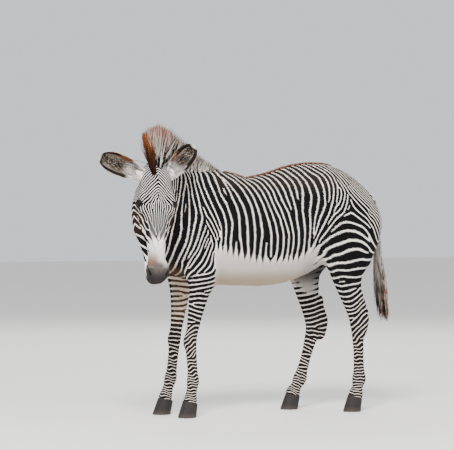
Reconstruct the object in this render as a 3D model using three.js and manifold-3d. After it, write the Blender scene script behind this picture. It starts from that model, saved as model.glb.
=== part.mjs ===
// A Grevy's zebra standing square with its neck bent to its left, as a still life-size museum model.
// Millimetres, +Z up. The zebra faces -X and its left side is -Y; the floor is Z = 0.
//
// The body is one implicit surface: tubes of elliptic section along curves, melted together. Each part of it
// is a mesh of that surface, cut from its neighbours by thin planes. Ears, hooves, mane and tail tuft are lofts.

import * as THREE from "three";
import { mergeVertices } from "three/addons/utils/BufferGeometryUtils.js";
import Module from "manifold-3d";

// ---------------------------------------------------------------- driving dimensions
const POLL = [-877, -400, 1424]; // top of the skull between the ears
const HEAD_YAW = 81.5; // degrees the face is turned from straight ahead towards the zebra's left
const HEAD_PITCH = 77; // degrees the face line drops below the level
const HEAD_TILT = -2.4; // degrees the muzzle swings to the zebra's left
const EYE = { along: 216, side: 92, out: -38, radius: 24 };
const EAR = { length: 240, width: 122, thick: 8 };
const HOOF = { length: 106, width: 92, height: 88 };
const GAP = 0.4; // between neighbouring nodes
const CLEAR = 5; // between the flesh and the hair or ears that stand on it
const CELL = { trunk: 60, neck: 46, head: 32, thigh: 46, shank: 29, foreleg: 34, tail: 27 }; // mesh sizes

const COAT = new THREE.Color(0.62, 0.6, 0.57);

// ---------------------------------------------------------------- small vector helpers
const radians = (degrees) => (degrees * Math.PI) / 180;
const add = (a, b) => [a[0] + b[0], a[1] + b[1], a[2] + b[2]];
const sub = (a, b) => [a[0] - b[0], a[1] - b[1], a[2] - b[2]];
const scale = (a, s) => [a[0] * s, a[1] * s, a[2] * s];
const dot = (a, b) => a[0] * b[0] + a[1] * b[1] + a[2] * b[2];
const cross = (a, b) => [a[1] * b[2] - a[2] * b[1], a[2] * b[0] - a[0] * b[2], a[0] * b[1] - a[1] * b[0]];
const unit = (a) => scale(a, 1 / Math.hypot(...a));
const mix = (a, b, t) => a + (b - a) * t;

// Melts two distances together over the width k.
function melt(a, b, k) {
  const h = Math.max(k - Math.abs(a - b), 0) / k;
  return Math.min(a, b) - (h * h * k) / 4;
}

// A Catmull-Rom blend of four numbers.
function smooth4(a, b, c, d, t) {
  return 0.5 * (2 * b + (c - a) * t + (2 * a - 5 * b + 4 * c - d) * t * t + (3 * b - a - 3 * c + d) * t ** 3);
}

// ---------------------------------------------------------------- tubes
// A station is [x, y, z, half width, half height above the line, half height below it].
// up is the direction that "above" means; the section is across the line. STEPS pieces join two stations.
const STEPS = 3;
function tube(stations, up, melted = 40) {
  const at = (i) => stations[Math.min(Math.max(i, 0), stations.length - 1)];
  const points = [];
  for (let i = 0; i < stations.length - 1; i++)
    for (let j = 0; j < STEPS; j++)
      points.push(at(i).map((_, n) => smooth4(at(i - 1)[n], at(i)[n], at(i + 1)[n], at(i + 2)[n], j / STEPS)));
  points.push([...at(stations.length)]);
  const pieces = [];
  for (let i = 0; i < points.length - 1; i++) {
    const a = points[i];
    const line = sub(points[i + 1], a);
    const along = unit(line);
    const side = unit(cross(up, along));
    pieces.push({ a, b: points[i + 1], line, along, side, above: cross(along, side), span: dot(line, line) });
  }
  return { pieces, melted };
}

// The distance from q to one piece of a tube, exact to first order near its skin.
function pieceDistance(piece, q) {
  const from = sub(q, piece.a);
  const t = Math.min(Math.max(dot(from, piece.line) / piece.span, 0), 1);
  const r = sub(from, scale(piece.line, t));
  const width = mix(piece.a[3], piece.b[3], t);
  const height = dot(r, piece.above) > 0 ? mix(piece.a[4], piece.b[4], t) : mix(piece.a[5], piece.b[5], t);
  const local = [dot(r, piece.side) / width, dot(r, piece.above) / height, (2 * dot(r, piece.along)) / (width + height)];
  const k = Math.hypot(...local);
  if (k < 1e-6) return -Math.min(width, height);
  const slope = Math.hypot(local[0] / width, local[1] / height, (2 * local[2]) / (width + height)) / k;
  return Math.max((k - 1) / slope, -Math.min(width, height));
}

function tubeDistance(made, q) {
  let nearest = Infinity;
  for (const piece of made.pieces) nearest = Math.min(nearest, pieceDistance(piece, q));
  return nearest;
}

function meltAll(tubes, q) {
  let d = Infinity;
  for (const made of tubes) {
    const e = tubeDistance(made, q);
    d = d === Infinity ? e : melt(d, e, made.melted);
  }
  return d;
}

const UP = [0, 0, 1];
const FORWARD = [-1, 0, 0];
const bothSides = (list) => [list, list.map(([x, y, z, ...sizes]) => [x, -y, z, ...sizes])];

// ---------------------------------------------------------------- trunk and neck
const barrel = tube(
  [
    [-655, 0, 985, 95, 95, 125],
    [-610, 0, 1020, 150, 170, 225],
    [-530, 0, 1060, 180, 275, 300],
    [-430, 0, 1070, 196, 318, 325],
    [-320, 0, 1060, 222, 322, 325],
    [-200, 0, 1050, 244, 308, 320],
    [-60, 0, 1045, 262, 330, 316],
    [70, 0, 1060, 266, 346, 294],
    [180, 0, 1095, 256, 345, 262],
    [290, 0, 1140, 234, 306, 226],
    [390, 0, 1145, 212, 240, 222],
    [480, 0, 1126, 176, 186, 205],
    [528, 0, 1103, 138, 138, 160],
    [556, 0, 1082, 90, 90, 104],
  ],
  UP,
);
const neckTube = tube(
  [
    [-400, 0, 1105, 150, 275, 270],
    [-515, -36, 1145, 124, 238, 262],
    [-615, -95, 1195, 100, 213, 225],
    [-705, -162, 1240, 86, 190, 188],
    [-785, -228, 1284, 78, 162, 162],
    [-846, -288, 1322, 68, 120, 138],
  ],
  UP,
  60,
);

// Muscles that round the shoulder, upper arm, croup, thigh and buttock; y is the zebra's left.
const muscles = [
  ...bothSides([
    [-420, -90, 1270, 60, 90, 90],
    [-520, -130, 1130, 72, 100, 100],
    [-610, -140, 985, 66, 82, 82],
  ]).map((s) => tube(s, FORWARD, 70)),
  ...bothSides([
    [-600, -140, 965, 58, 70, 80],
    [-508, -150, 850, 72, 95, 100],
    [-486, -142, 775, 56, 76, 66],
  ]).map((s) => tube(s, FORWARD, 70)),
  ...bothSides([
    [250, -120, 1250, 90, 112, 120],
    [392, -120, 1150, 102, 122, 140],
    [492, -106, 1080, 90, 98, 110],
  ]).map((s) => tube(s, UP, 90)),
  ...bothSides([
    [555, -88, 1102, 56, 64, 64],
    [545, -108, 995, 60, 76, 60],
    [490, -130, 890, 60, 84, 64],
  ]).map((s) => tube(s, FORWARD, 70)),
  ...bothSides([
    [262, -150, 1120, 60, 90, 90],
    [240, -148, 990, 56, 56, 84],
    [300, -148, 928, 46, 46, 64],
  ]).map((s) => tube(s, FORWARD, 80)),
];

// ---------------------------------------------------------------- legs
// Fore: elbow, forearm, knee, cannon, fetlock, pastern. A joint is [x, z]; y is the lateral place of each.
// Sizes are [half width, half depth in front, half depth behind].
const foreSizes = [
  [60, 90, 80],
  [54, 75, 60],
  [42, 54, 50],
  [34, 40, 38],
  [37, 43, 38],
  [31, 33, 35],
  [25, 29, 34],
  [26, 30, 35],
  [32, 37, 40],
  [28, 31, 33],
  [38, 42, 40],
];
function foreleg(sideY, elbow, knee, fetlock, coronet) {
  const between = (a, b, t) => [mix(a[0], b[0], t), mix(a[1], b[1], t)];
  const places = [
    [elbow[0] - 10, elbow[1] + 60],
    between(elbow, knee, 0.12),
    between(elbow, knee, 0.45),
    between(elbow, knee, 0.82),
    knee,
    between(knee, fetlock, 0.22),
    between(knee, fetlock, 0.55),
    between(knee, fetlock, 0.82),
    fetlock,
    between(fetlock, coronet, 0.5),
    coronet,
  ];
  const out = [1.12, 1.1, 1.02, 1, 1, 1, 1, 1, 1, 1, 1];
  return tube(
    places.map(([x, z], i) => [x, sideY * out[i], z, ...foreSizes[i]]),
    FORWARD,
    46,
  );
}
// Hind: thigh, stifle, gaskin, hock, cannon, fetlock, pastern.
const hindSizes = [
  [90, 155, 150],
  [86, 132, 150],
  [72, 80, 158],
  [52, 66, 97],
  [36, 48, 52],
  [40, 53, 58],
  [33, 42, 40],
  [26, 32, 34],
  [27, 33, 36],
  [36, 42, 45],
  [30, 33, 35],
  [41, 46, 44],
];
function hindLeg(sideY, hip, stifle, hock, fetlock, coronet) {
  const between = (a, b, t) => [mix(a[0], b[0], t), mix(a[1], b[1], t)];
  const places = [
    hip,
    between(hip, stifle, 0.5),
    stifle,
    between(stifle, hock, 0.4),
    between(stifle, hock, 0.8),
    hock,
    between(hock, fetlock, 0.2),
    between(hock, fetlock, 0.5),
    between(hock, fetlock, 0.82),
    fetlock,
    between(fetlock, coronet, 0.5),
    coronet,
  ];
  const out = [0.95, 1.06, 1.1, 1.04, 1, 1, 1, 1, 1, 1, 1, 1];
  return tube(
    places.map(([x, z], i) => [x, sideY * out[i], z, ...hindSizes[i]]),
    FORWARD,
    60,
  );
}
const legs = {
  fore_left: foreleg(-122, [-508, 765], [-574, 428], [-560, 205], [-574, 98]),
  fore_right: foreleg(122, [-522, 765], [-572, 432], [-600, 207], [-630, 98]),
  hind_left: hindLeg(-138, [422, 1050], [348, 850], [468, 510], [474, 190], [455, 98]),
  hind_right: hindLeg(138, [400, 1050], [222, 850], [313, 470], [222, 178], [180, 98]),
};
// The point of each hock, with the tendon that runs up from it.
const hockPoint = (x, y, z, lean) =>
  tube(
    [
      [x + 40 - lean * 0.6, y, z + 175, 18, 22, 22],
      [x + 36, y, z + 110, 18, 22, 22],
      [x + 50, y, z + 40, 22, 26, 26],
      [x + 24, y, z - 40, 24, 30, 30],
    ],
    FORWARD,
    34,
  );
const hocks = [hockPoint(468, -138, 510, 60), hockPoint(334, 138, 470, 20)];

// ---------------------------------------------------------------- head
// Head coordinates: along the face from the poll, side towards the zebra's left, out from the face line.
const yaw = radians(HEAD_YAW);
const pitch = radians(HEAD_PITCH);
const faceWay = [-Math.cos(yaw), -Math.sin(yaw), 0];
const tilt = radians(HEAD_TILT);
const down = [faceWay[0] * Math.cos(pitch), faceWay[1] * Math.cos(pitch), -Math.sin(pitch)];
const level = unit(cross(UP, faceWay));
const alongFace = add(scale(down, Math.cos(tilt)), scale(level, Math.sin(tilt)));
const sideOfFace = add(scale(level, Math.cos(tilt)), scale(down, -Math.sin(tilt)));
const outOfFace = unit(cross(alongFace, sideOfFace));
const intoHead = (q) => {
  const r = sub(q, POLL);
  return [dot(r, alongFace), dot(r, sideOfFace), dot(r, outOfFace)];
};
const outOfHead = ([s, w, d]) =>
  add(POLL, add(scale(alongFace, s), add(scale(sideOfFace, w), scale(outOfFace, d))));

const OUT = [0, 0, 1];
const skull = [
  // brain case, forehead, nose and muzzle: half width, half height outwards, half height towards the jaw
  tube(
    [
      [10, 0, -62, 58, 58, 62],
      [75, 0, -62, 80, 68, 86],
      [150, 0, -66, 96, 74, 98],
      [215, 0, -68, 98, 75, 100],
      [300, 0, -66, 78, 69, 86],
      [400, 0, -60, 57, 58, 70],
      [490, 0, -54, 49, 50, 62],
      [560, 0, -49, 54, 46, 60],
      [603, 0, -48, 56, 42, 50],
      [618, 0, -52, 45, 32, 40],
    ],
    OUT,
    30,
  ),
  // lower jaw: cheek to chin
  tube(
    [
      [125, 0, -165, 68, 62, 78],
      [215, 0, -194, 87, 80, 96],
      [310, 0, -202, 90, 80, 98],
      [400, 0, -184, 67, 66, 68],
      [500, 0, -152, 50, 50, 46],
      [576, 0, -142, 50, 48, 44],
      [606, 0, -134, 43, 40, 38],
    ],
    OUT,
    26,
  ),
];
const skullSides = [
  // cheek muscle
  tube(
    [
      [140, 58, -150, 42, 78, 78],
      [215, 68, -162, 44, 92, 92],
      [300, 60, -172, 40, 80, 78],
    ],
    OUT,
    36,
  ),
  // brow and socket
  tube(
    [
      [176, 73, -28, 26, 21, 28],
      [208, 87, -33, 28, 24, 34],
      [248, 80, -38, 24, 22, 30],
    ],
    OUT,
    26,
  ),
  // cheekbone, fading towards the nose
  tube(
    [
      [230, 80, -74, 22, 20, 22],
      [300, 70, -80, 17, 16, 18],
      [390, 49, -78, 12, 14, 14],
    ],
    OUT,
    26,
  ),
  // nostril
  tube(
    [
      [556, 38, -26, 16, 20, 24],
      [590, 44, -25, 20, 23, 30],
      [610, 38, -34, 18, 22, 24],
    ],
    OUT,
    24,
  ),
  // root of the ear
  tube(
    [
      [44, 58, -68, 36, 32, 34],
      [32, 84, -72, 32, 28, 30],
    ],
    OUT,
    30,
  ),
];
function headDistance(q) {
  const local = intoHead(q);
  const mirrored = [local[0], Math.abs(local[1]), local[2]];
  let d = meltAll(skull, mirrored);
  for (const made of skullSides) d = melt(d, tubeDistance(made, mirrored), made.melted);
  return d;
}

// ---------------------------------------------------------------- tail
const tailLine = [
  [548, 0, 1240],
  [612, 0, 1200],
  [645, -1, 1120],
  [658, -4, 1000],
  [668, -6, 880],
  [686, -8, 760],
  [702, -10, 640],
  [712, -12, 548],
];
const tailSizes = [
  [40, 34, 34],
  [38, 32, 30],
  [33, 28, 28],
  [28, 24, 24],
  [27, 26, 26],
  [34, 34, 34],
  [30, 30, 30],
  [8, 8, 8],
];
const DOCK_STATIONS = 5; // of the tail line, that are flesh; the rest is the tuft
const tailStation = (p, i) => [...p, ...tailSizes[i]];
const dock = tube(tailLine.slice(0, DOCK_STATIONS).map(tailStation), FORWARD, 30);
const tuftTube = tube(tailLine.map(tailStation).slice(DOCK_STATIONS - 2), FORWARD, 30);

// ---------------------------------------------------------------- the whole body
const bodyTubes = [barrel, neckTube, ...muscles, ...Object.values(legs), ...hocks];
const trunkDistance = (q) => meltAll(bodyTubes, q);
function bodyDistance(q) {
  const d = trunkDistance(q);
  return q[0] < -560 && q[1] < -100 ? melt(d, headDistance(q), 44) : d;
}

// ---------------------------------------------------------------- meshing an implicit surface
// Surface nets: one vertex for each cell that the surface crosses, moved onto the surface.
function meshOf(distance, low, high, cell, level = 0) {
  const counts = low.map((l, i) => Math.ceil((high[i] - l) / cell) + 3);
  const place = (i, j, k) => [low[0] + (i - 1) * cell, low[1] + (j - 1) * cell, low[2] + (k - 1) * cell];
  const index = (i, j, k) => (k * counts[1] + j) * counts[0] + i;
  const values = new Float64Array(counts[0] * counts[1] * counts[2]);
  for (let k = 0; k < counts[2]; k++)
    for (let j = 0; j < counts[1]; j++)
      for (let i = 0; i < counts[0]; i++) {
        const edge = i < 1 || j < 1 || k < 1 || i > counts[0] - 2 || j > counts[1] - 2 || k > counts[2] - 2;
        values[index(i, j, k)] = edge ? cell : distance(place(i, j, k)) - level;
      }
  const corners = [];
  for (let c = 0; c < 8; c++) corners.push([c & 1, (c >> 1) & 1, c >> 2]);
  // A cell has one vertex for each group of inside corners that touch along its edges, kept under each corner.
  const vertexOf = new Map();
  const positions = [];
  for (let k = 0; k < counts[2] - 1; k++)
    for (let j = 0; j < counts[1] - 1; j++)
      for (let i = 0; i < counts[0] - 1; i++) {
        const v = corners.map(([a, b, c]) => values[index(i + a, j + b, k + c)]);
        const inside = v.filter((x) => x < 0).length;
        if (inside === 0 || inside === 8) continue;
        const groupOf = new Array(8).fill(-1);
        for (let start = 0; start < 8; start++) {
          if (v[start] >= 0 || groupOf[start] >= 0) continue;
          const stack = [start];
          groupOf[start] = start;
          let sum = [0, 0, 0];
          let crossings = 0;
          while (stack.length) {
            const a = stack.pop();
            for (const bit of [1, 2, 4]) {
              const b = a ^ bit;
              if (v[b] < 0) {
                if (groupOf[b] < 0) stack.push(b);
                groupOf[b] = start;
                continue;
              }
              const t = v[a] / (v[a] - v[b]);
              sum = add(sum, add(scale(corners[a], 1 - t), scale(corners[b], t)));
              crossings++;
            }
          }
          if (!crossings) continue;
          const middle = add(place(i, j, k), scale(sum, cell / crossings));
          const vertex = positions.length / 3;
          positions.push(...onSurface(middle, distance, level, low, high));
          groupOf.forEach((g, c) => g === start && vertexOf.set(index(i, j, k) * 8 + c, vertex));
        }
      }
  const faces = [];
  const quad = (a, b, c, d, flip) => faces.push(...(flip ? [a, c, b, a, d, c] : [a, b, c, a, c, d]));
  const steps = [
    [[1, 0, 0], [[0, 1, 1], [0, 0, 1], [0, 0, 0], [0, 1, 0]]],
    [[0, 1, 0], [[1, 0, 1], [1, 0, 0], [0, 0, 0], [0, 0, 1]]],
    [[0, 0, 1], [[1, 1, 0], [0, 1, 0], [0, 0, 0], [1, 0, 0]]],
  ];
  for (let k = 0; k < counts[2] - 1; k++)
    for (let j = 0; j < counts[1] - 1; j++)
      for (let i = 0; i < counts[0] - 1; i++)
        for (const [[di, dj, dk], around] of steps) {
          const here = values[index(i, j, k)] < 0;
          if (here === values[index(i + di, j + dj, k + dk)] < 0) continue;
          const [ci, cj, ck] = here ? [i, j, k] : [i + di, j + dj, k + dk]; // the inside end of this edge
          const vertices = around.map(([a, b, c]) => {
            const corner = ci - i + a + 2 * (cj - j + b) + 4 * (ck - k + c);
            return vertexOf.get(index(i - a, j - b, k - c) * 8 + corner);
          });
          quad(...vertices, !here);
        }
  return solidFrom(new Float32Array(positions), new Uint32Array(faces));
}

// Moves a point onto the surface, where the surface is within its box.
function onSurface(q, distance, level, low, high) {
  const margin = 2;
  if (q.some((v, i) => v < low[i] + margin || v > high[i] - margin)) return q;
  const h = 1;
  for (let step = 0; step < 3; step++) {
    const d = distance(q) - level;
    const slope = [0, 1, 2].map((n) => {
      const ahead = [...q];
      ahead[n] += h;
      return (distance(ahead) - level - d) / h;
    });
    const steep = Math.max(dot(slope, slope), 0.2);
    q = sub(q, scale(slope, (0.9 * d) / steep));
  }
  return q;
}

// ---------------------------------------------------------------- solids: joining and cutting
const wasm = await Module();
wasm.setup();

function solidFrom(vertProperties, triVerts) {
  return new wasm.Manifold(new wasm.Mesh({ numProp: 3, vertProperties, triVerts }));
}

function solidOf(geometry) {
  const bare = geometry.index ? geometry.toNonIndexed() : geometry.clone();
  bare.deleteAttribute("normal");
  bare.deleteAttribute("uv");
  const merged = mergeVertices(bare, 1e-3);
  return solidFrom(merged.attributes.position.array, new Uint32Array(merged.index.array));
}

function geometryOf(solid) {
  const mesh = solid.getMesh();
  const geometry = new THREE.BufferGeometry();
  geometry.setAttribute("position", new THREE.BufferAttribute(mesh.vertProperties, 3));
  geometry.setIndex(new THREE.BufferAttribute(mesh.triVerts, 1));
  return geometry;
}

// A large box whose one face lies in a plane: everything on the plane's positive side, moved back by half a gap.
function halfSpace(point, normal, reach = 3000) {
  const box = new THREE.BoxGeometry(reach, reach, reach);
  const n = new THREE.Vector3(...unit(normal));
  box.applyQuaternion(new THREE.Quaternion().setFromUnitVectors(new THREE.Vector3(0, 0, 1), n));
  const middle = add(point, scale(unit(normal), reach / 2 + GAP / 2));
  box.translate(...middle);
  return solidOf(box);
}

// The largest connected piece of a solid, which drops slivers that a cut leaves.
function largest(solid) {
  return solid.decompose().reduce((a, b) => (a.volume() > b.volume() ? a : b));
}

// ---------------------------------------------------------------- lofts
// A closed skin over rings of equal count, capped at both ends by a fan round each end ring's middle.
function loft(rings) {
  const count = rings[0].length;
  const positions = [];
  const middle = (ring) => scale(ring.reduce(add, [0, 0, 0]), 1 / count);
  for (const ring of rings) for (const p of ring) positions.push(...p);
  const first = positions.length / 3;
  positions.push(...middle(rings[0]), ...middle(rings[rings.length - 1]));
  const faces = [];
  for (let i = 0; i < rings.length - 1; i++)
    for (let j = 0; j < count; j++) {
      const a = i * count + j;
      const b = i * count + ((j + 1) % count);
      faces.push(a, b, a + count, b, b + count, a + count);
    }
  const top = (rings.length - 1) * count;
  for (let j = 0; j < count; j++) {
    const next = (j + 1) % count;
    faces.push(first, next, j, first + 1, top + j, top + next);
  }
  const made = solidFrom(new Float32Array(positions), new Uint32Array(faces));
  if (made.volume() > 0) return made;
  for (let i = 0; i < faces.length; i += 3) [faces[i + 1], faces[i + 2]] = [faces[i + 2], faces[i + 1]];
  return solidFrom(new Float32Array(positions), new Uint32Array(faces));
}

// ---------------------------------------------------------------- ears
// A cupped leaf: each section is an open channel that wraps from a rolled root to a flat rounded tip.
function ear(sign) {
  const sections = 8;
  const across = 7;
  const root = outOfHead([36, sign * 84, -72]);
  const lean = sign > 0 ? EAR_POSE.left : EAR_POSE.right;
  const axis = unit(fromHead(lean.axis, sign));
  const mouth = fromHead(lean.mouth, sign);
  const open = unit(sub(mouth, scale(axis, dot(mouth, axis))));
  const wide = cross(axis, open);
  const rings = [];
  for (let i = 0; i < sections; i++) {
    const t = i / (sections - 1);
    const half = (EAR.width / 2) * earOutline(t);
    const wrap = radians(mix(150, 62, Math.min(t * 1.5, 1)));
    const bend = half / Math.sin(Math.min(wrap, Math.PI / 2));
    const thick = mix(EAR.thick * 1.6, EAR.thick, t);
    const ring = [];
    for (const [radius, from, to] of [
      [bend, -wrap, wrap],
      [Math.max(bend - thick, bend * 0.35), wrap, -wrap],
    ])
      for (let j = 0; j < across; j++) {
        const angle = mix(from, to, j / (across - 1));
        const sideways = scale(wide, radius * Math.sin(angle));
        const back = scale(open, -radius * Math.cos(angle) + bend * 0.35);
        ring.push(add(add(root, scale(axis, -30 + t * (EAR.length + 30))), add(sideways, back)));
      }
    rings.push(ring);
  }
  return loft(rings);
}
// Width of the ear's outline, as a share of the widest, from root to tip.
function earOutline(t) {
  const round = Math.sqrt(Math.max(1 - ((t - 0.62) / 0.4) ** 2, 0.03));
  return t < 0.62 ? mix(0.5, 1, Math.sin((t / 0.62) * (Math.PI / 2))) : round;
}
// Directions in head coordinates, with side counted outwards: which way each ear points and opens.
const EAR_POSE = {
  left: { axis: [-0.75, 0.62, -0.17], mouth: [0.1, -0.11, 0.98] },
  right: { axis: [-0.34, 0.94, -0.02], mouth: [0.3, 0.26, 0.92] },
};
function fromHead([s, w, d], sign) {
  return add(scale(alongFace, s), add(scale(sideOfFace, w * sign), scale(outOfFace, d)));
}

// ---------------------------------------------------------------- hooves
// Sole flat on the floor at [x, y], narrower at the heel, rising to the sloping coronet.
function hoof(x, y, lean) {
  const around = 12;
  const rings = [
    [0, 1, 1],
    [0.12, 0.99, 0.99],
    [0.6, 0.89, 0.9],
    [1, 0.8, 0.82],
  ].map(([t, long, wide]) => {
    const ring = [];
    for (let j = 0; j < around; j++) {
      const angle = (j / around) * 2 * Math.PI;
      const toe = Math.cos(angle) > 0 ? 0.55 : 0.45;
      const slope = t * HOOF.height * (1 + 0.12 * Math.cos(angle));
      ring.push([
        x - Math.cos(angle) * HOOF.length * toe * long + t * lean,
        y + Math.sin(angle) * (HOOF.width / 2) * wide,
        t === 0 ? 0 : slope,
      ]);
    }
    return ring;
  });
  return loft(rings);
}
const hoofPlaces = {
  fore_left: [-590, -122, 20],
  fore_right: [-650, 122, 26],
  hind_left: [434, -138, 20],
  hind_right: [158, 138, 26],
};

// ---------------------------------------------------------------- mane
// A crest of hair from the withers over the poll to the forelock: [x, y, z, height, half thickness].
const maneLine = [
  [-325, 0, 1335, 50, 12],
  [-400, -2, 1345, 84, 18],
  [-500, -30, 1358, 124, 24],
  [-600, -86, 1378, 162, 28],
  [-695, -155, 1400, 192, 31],
  [-782, -225, 1418, 212, 34],
  [-838, -290, 1418, 220, 37],
  [-866, -352, 1402, 232, 42],
  [-884, -402, 1376, 222, 38],
  [-884, -440, 1348, 170, 30],
];
function mane() {
  const at = (i) => maneLine[Math.min(Math.max(i, 0), maneLine.length - 1)];
  const rings = [];
  for (let i = 0; i < maneLine.length - 1; i++)
    for (let j = 0; j < 2; j++)
      rings.push(at(i).map((_, n) => smooth4(at(i - 1)[n], at(i)[n], at(i + 1)[n], at(i + 2)[n], j / 2)));
  rings.push([...at(maneLine.length)]);
  return loft(
    rings.map((station, i) => {
      const ahead = rings[Math.min(i + 1, rings.length - 1)];
      const behind = rings[Math.max(i - 1, 0)];
      const side = unit(cross(UP, [ahead[0] - behind[0], ahead[1] - behind[1], 0]));
      const [x, y, z, height, thick] = station;
      const section = [
        [-0.8, 0],
        [-1, 0.5],
        [-0.7, 1],
        [0.7, 1],
        [1, 0.5],
        [0.8, 0],
      ];
      return section.map(([w, h]) => add([x, y, z + h * height], scale(side, w * thick)));
    }),
  );
}

// ---------------------------------------------------------------- parting the body
const box = {
  trunk: [[-760, -330, 640], [720, 330, 1500]],
  neck: [[-1000, -560, 860], [-330, 200, 1560]],
  head: [[-1120, -760, 700], [-640, -60, 1500]],
};
const neckCut = [[-560, 0, 1215], [-0.84, -0.05, 0.545]];
// The head lies in front of a slanting plane behind the skull and right of one beside the left cheek.
const headCell = (grow) =>
  halfSpace(
    add(outOfHead([0, 0, -122]), scale(unit(fromHead([0.5, -0.35, 0.8], 1)), -grow)),
    fromHead([0.5, -0.35, 0.8], 1),
  ).intersect(halfSpace(outOfHead([0, 112 + grow, 0]), scale(sideOfFace, -1)));
const hindCut = [[215, 0, 780], [0.38, 0, -1]];
const foreCut = [[-500, 0, 722], [0, 0, -1]];
const hockCuts = { left: [[468, 0, 400], [0.1, 0, -1]], right: [[300, 0, 380], [0.1, 0, -1]] };
const kneeCut = [[-580, 0, 372], [0, 0, -1]];
const coronetCut = (side) => {
  const [x, , lean] = hoofPlaces[side];
  return [[x + lean, 0, HOOF.height + 1], [-0.1, 0, -1]];
};

const keep = (solid, ...planes) => planes.reduce((s, p) => s.intersect(halfSpace(...p)), solid);
const back = ([p, n]) => [p, scale(n, -1)];

const group = new THREE.Group();
group.name = "zebra";
const materials = {
  coat: new THREE.MeshStandardMaterial({ color: COAT, roughness: 0.75, metalness: 0 }),
  hoof: new THREE.MeshStandardMaterial({ color: 0x3a3634, roughness: 0.6, metalness: 0 }),
  eye: new THREE.MeshStandardMaterial({ color: 0x120c08, roughness: 0.05, metalness: 0 }),
  mane: new THREE.MeshStandardMaterial({ color: 0x8a6a50, roughness: 0.9, metalness: 0 }),
};
function place(name, solid, material) {
  const mesh = new THREE.Mesh(geometryOf(largest(solid)), materials[material]);
  mesh.name = name;
  group.add(mesh);
}

function addTrunk() {
  const whole = meshOf(trunkDistance, ...box.trunk, CELL.trunk);
  const hindCell = halfSpace(...hindCut).intersect(halfSpace([-60, 0, 0], [1, 0, 0]));
  const grown = hindCell.translate(0, 0, GAP);
  const foreCell = halfSpace(add(foreCut[0], [0, 0, GAP]), foreCut[1]).intersect(
    halfSpace([-300, 0, 0], [-1, 0, 0]),
  );
  const kept = keep(whole, back(neckCut)).subtract(grown).subtract(foreCell);
  place("trunk", kept, "coat");
}
function addNeck() {
  const whole = meshOf(bodyDistance, ...box.neck, CELL.neck);
  place("neck", keep(whole, neckCut).subtract(headCell(GAP)), "coat");
}
const socket = (sign, grow) => {
  const ball = new THREE.SphereGeometry(EYE.radius + grow, 12, 8);
  ball.translate(...outOfHead([EYE.along, sign * EYE.side, EYE.out]));
  return solidOf(ball);
};
function addHead() {
  const whole = meshOf(bodyDistance, ...box.head, CELL.head);
  const bare = largest(whole.intersect(headCell(0)));
  place("head", bare.subtract(socket(1, GAP)).subtract(socket(-1, GAP)), "coat");
  for (const [name, sign] of [["left", 1], ["right", -1]]) place("eye_" + name, socket(sign, 0), "eye");
}
function addEarsAndMane() {
  const grown = meshOf(bodyDistance, [-1060, -560, 1150], [-240, 200, 1560], CELL.neck, CLEAR);
  const grownHead = meshOf(bodyDistance, ...box.head, CELL.head, CLEAR);
  const ears = { left: ear(1), right: ear(-1) };
  for (const name of ["left", "right"])
    place("ear_" + name, ears[name].subtract(grown).subtract(grownHead), "coat");
  const crest = mane().subtract(grown).subtract(grownHead);
  place("mane", crest.subtract(ears.left).subtract(ears.right), "mane");
}
const halfOf = { left: [-330, -2], right: [2, 330] }; // the span in y of each side's legs
function addHindLeg(side) {
  const [near, far] = halfOf[side];
  const hoofX = hoofPlaces["hind_" + side][0];
  const upper = meshOf(bodyDistance, [hoofX - 260, near, 300], [hoofX + 460, far, 1000], CELL.thigh);
  place("thigh_" + side, keep(upper, hindCut, back(hockCuts[side])), "coat");
  const lower = meshOf(bodyDistance, [hoofX - 80, near, 60], [hoofX + 260, far, 560], CELL.shank);
  place("cannon_hind_" + side, keep(lower, hockCuts[side], back(coronetCut("hind_" + side))), "coat");
}
function addForeleg(side) {
  const [near, far] = halfOf[side];
  const hoofX = hoofPlaces["fore_" + side][0];
  const upper = meshOf(bodyDistance, [-760, near, 330], [-330, far, 780], CELL.foreleg);
  place("forearm_" + side, keep(upper, foreCut, back(kneeCut)), "coat");
  const lower = meshOf(bodyDistance, [hoofX - 90, near, 60], [hoofX + 170, far, 430], CELL.shank);
  place("cannon_fore_" + side, keep(lower, kneeCut, back(coronetCut("fore_" + side))), "coat");
}
function addHooves() {
  for (const [side, [x, y, lean]] of Object.entries(hoofPlaces))
    place("hoof_" + side, keep(hoof(x, y, lean), coronetCut(side)), "hoof");
}
function addTail() {
  const cutTuft = [[690, 0, 872], [0, 0, -1]];
  const rump = meshOf(trunkDistance, [440, -140, 940], [760, 140, 1400], CELL.tail, CLEAR - 2);
  const flesh = meshOf((q) => tubeDistance(dock, q), [480, -80, 780], [760, 80, 1330], CELL.tail);
  place("tail", keep(flesh, back(cutTuft)).subtract(rump), "coat");
  const hair = meshOf((q) => tubeDistance(tuftTube, q), [640, -60, 530], [780, 60, 920], CELL.tail);
  place("tail_tuft", keep(hair, cutTuft), "mane");
}

addTrunk();
addNeck();
addHead();
addEarsAndMane();
for (const side of ["left", "right"]) {
  addHindLeg(side);
  addForeleg(side);
}
addHooves();
addTail();

// The origin is the middle of the underside of the whole zebra's box.
const extent = new THREE.Box3().setFromObject(group);
const middle = extent.getCenter(new THREE.Vector3());
group.position.set(-middle.x, -middle.y, -extent.min.z);

export default group;
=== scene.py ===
# %% [markdown]
# # A Grevy's zebra, standing
#
# A whole animal is one skin over one body, with separate eyes and hooves, and a coat of hair on top. Here the
# skin is grown from the solids of the frame, its stripes are worked out as a wave that runs over the skin,
# and the mane, tail and short coat are real tufts of mesh. The short coat takes its colour from the skin.

# %% Load the frame
import math

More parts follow.
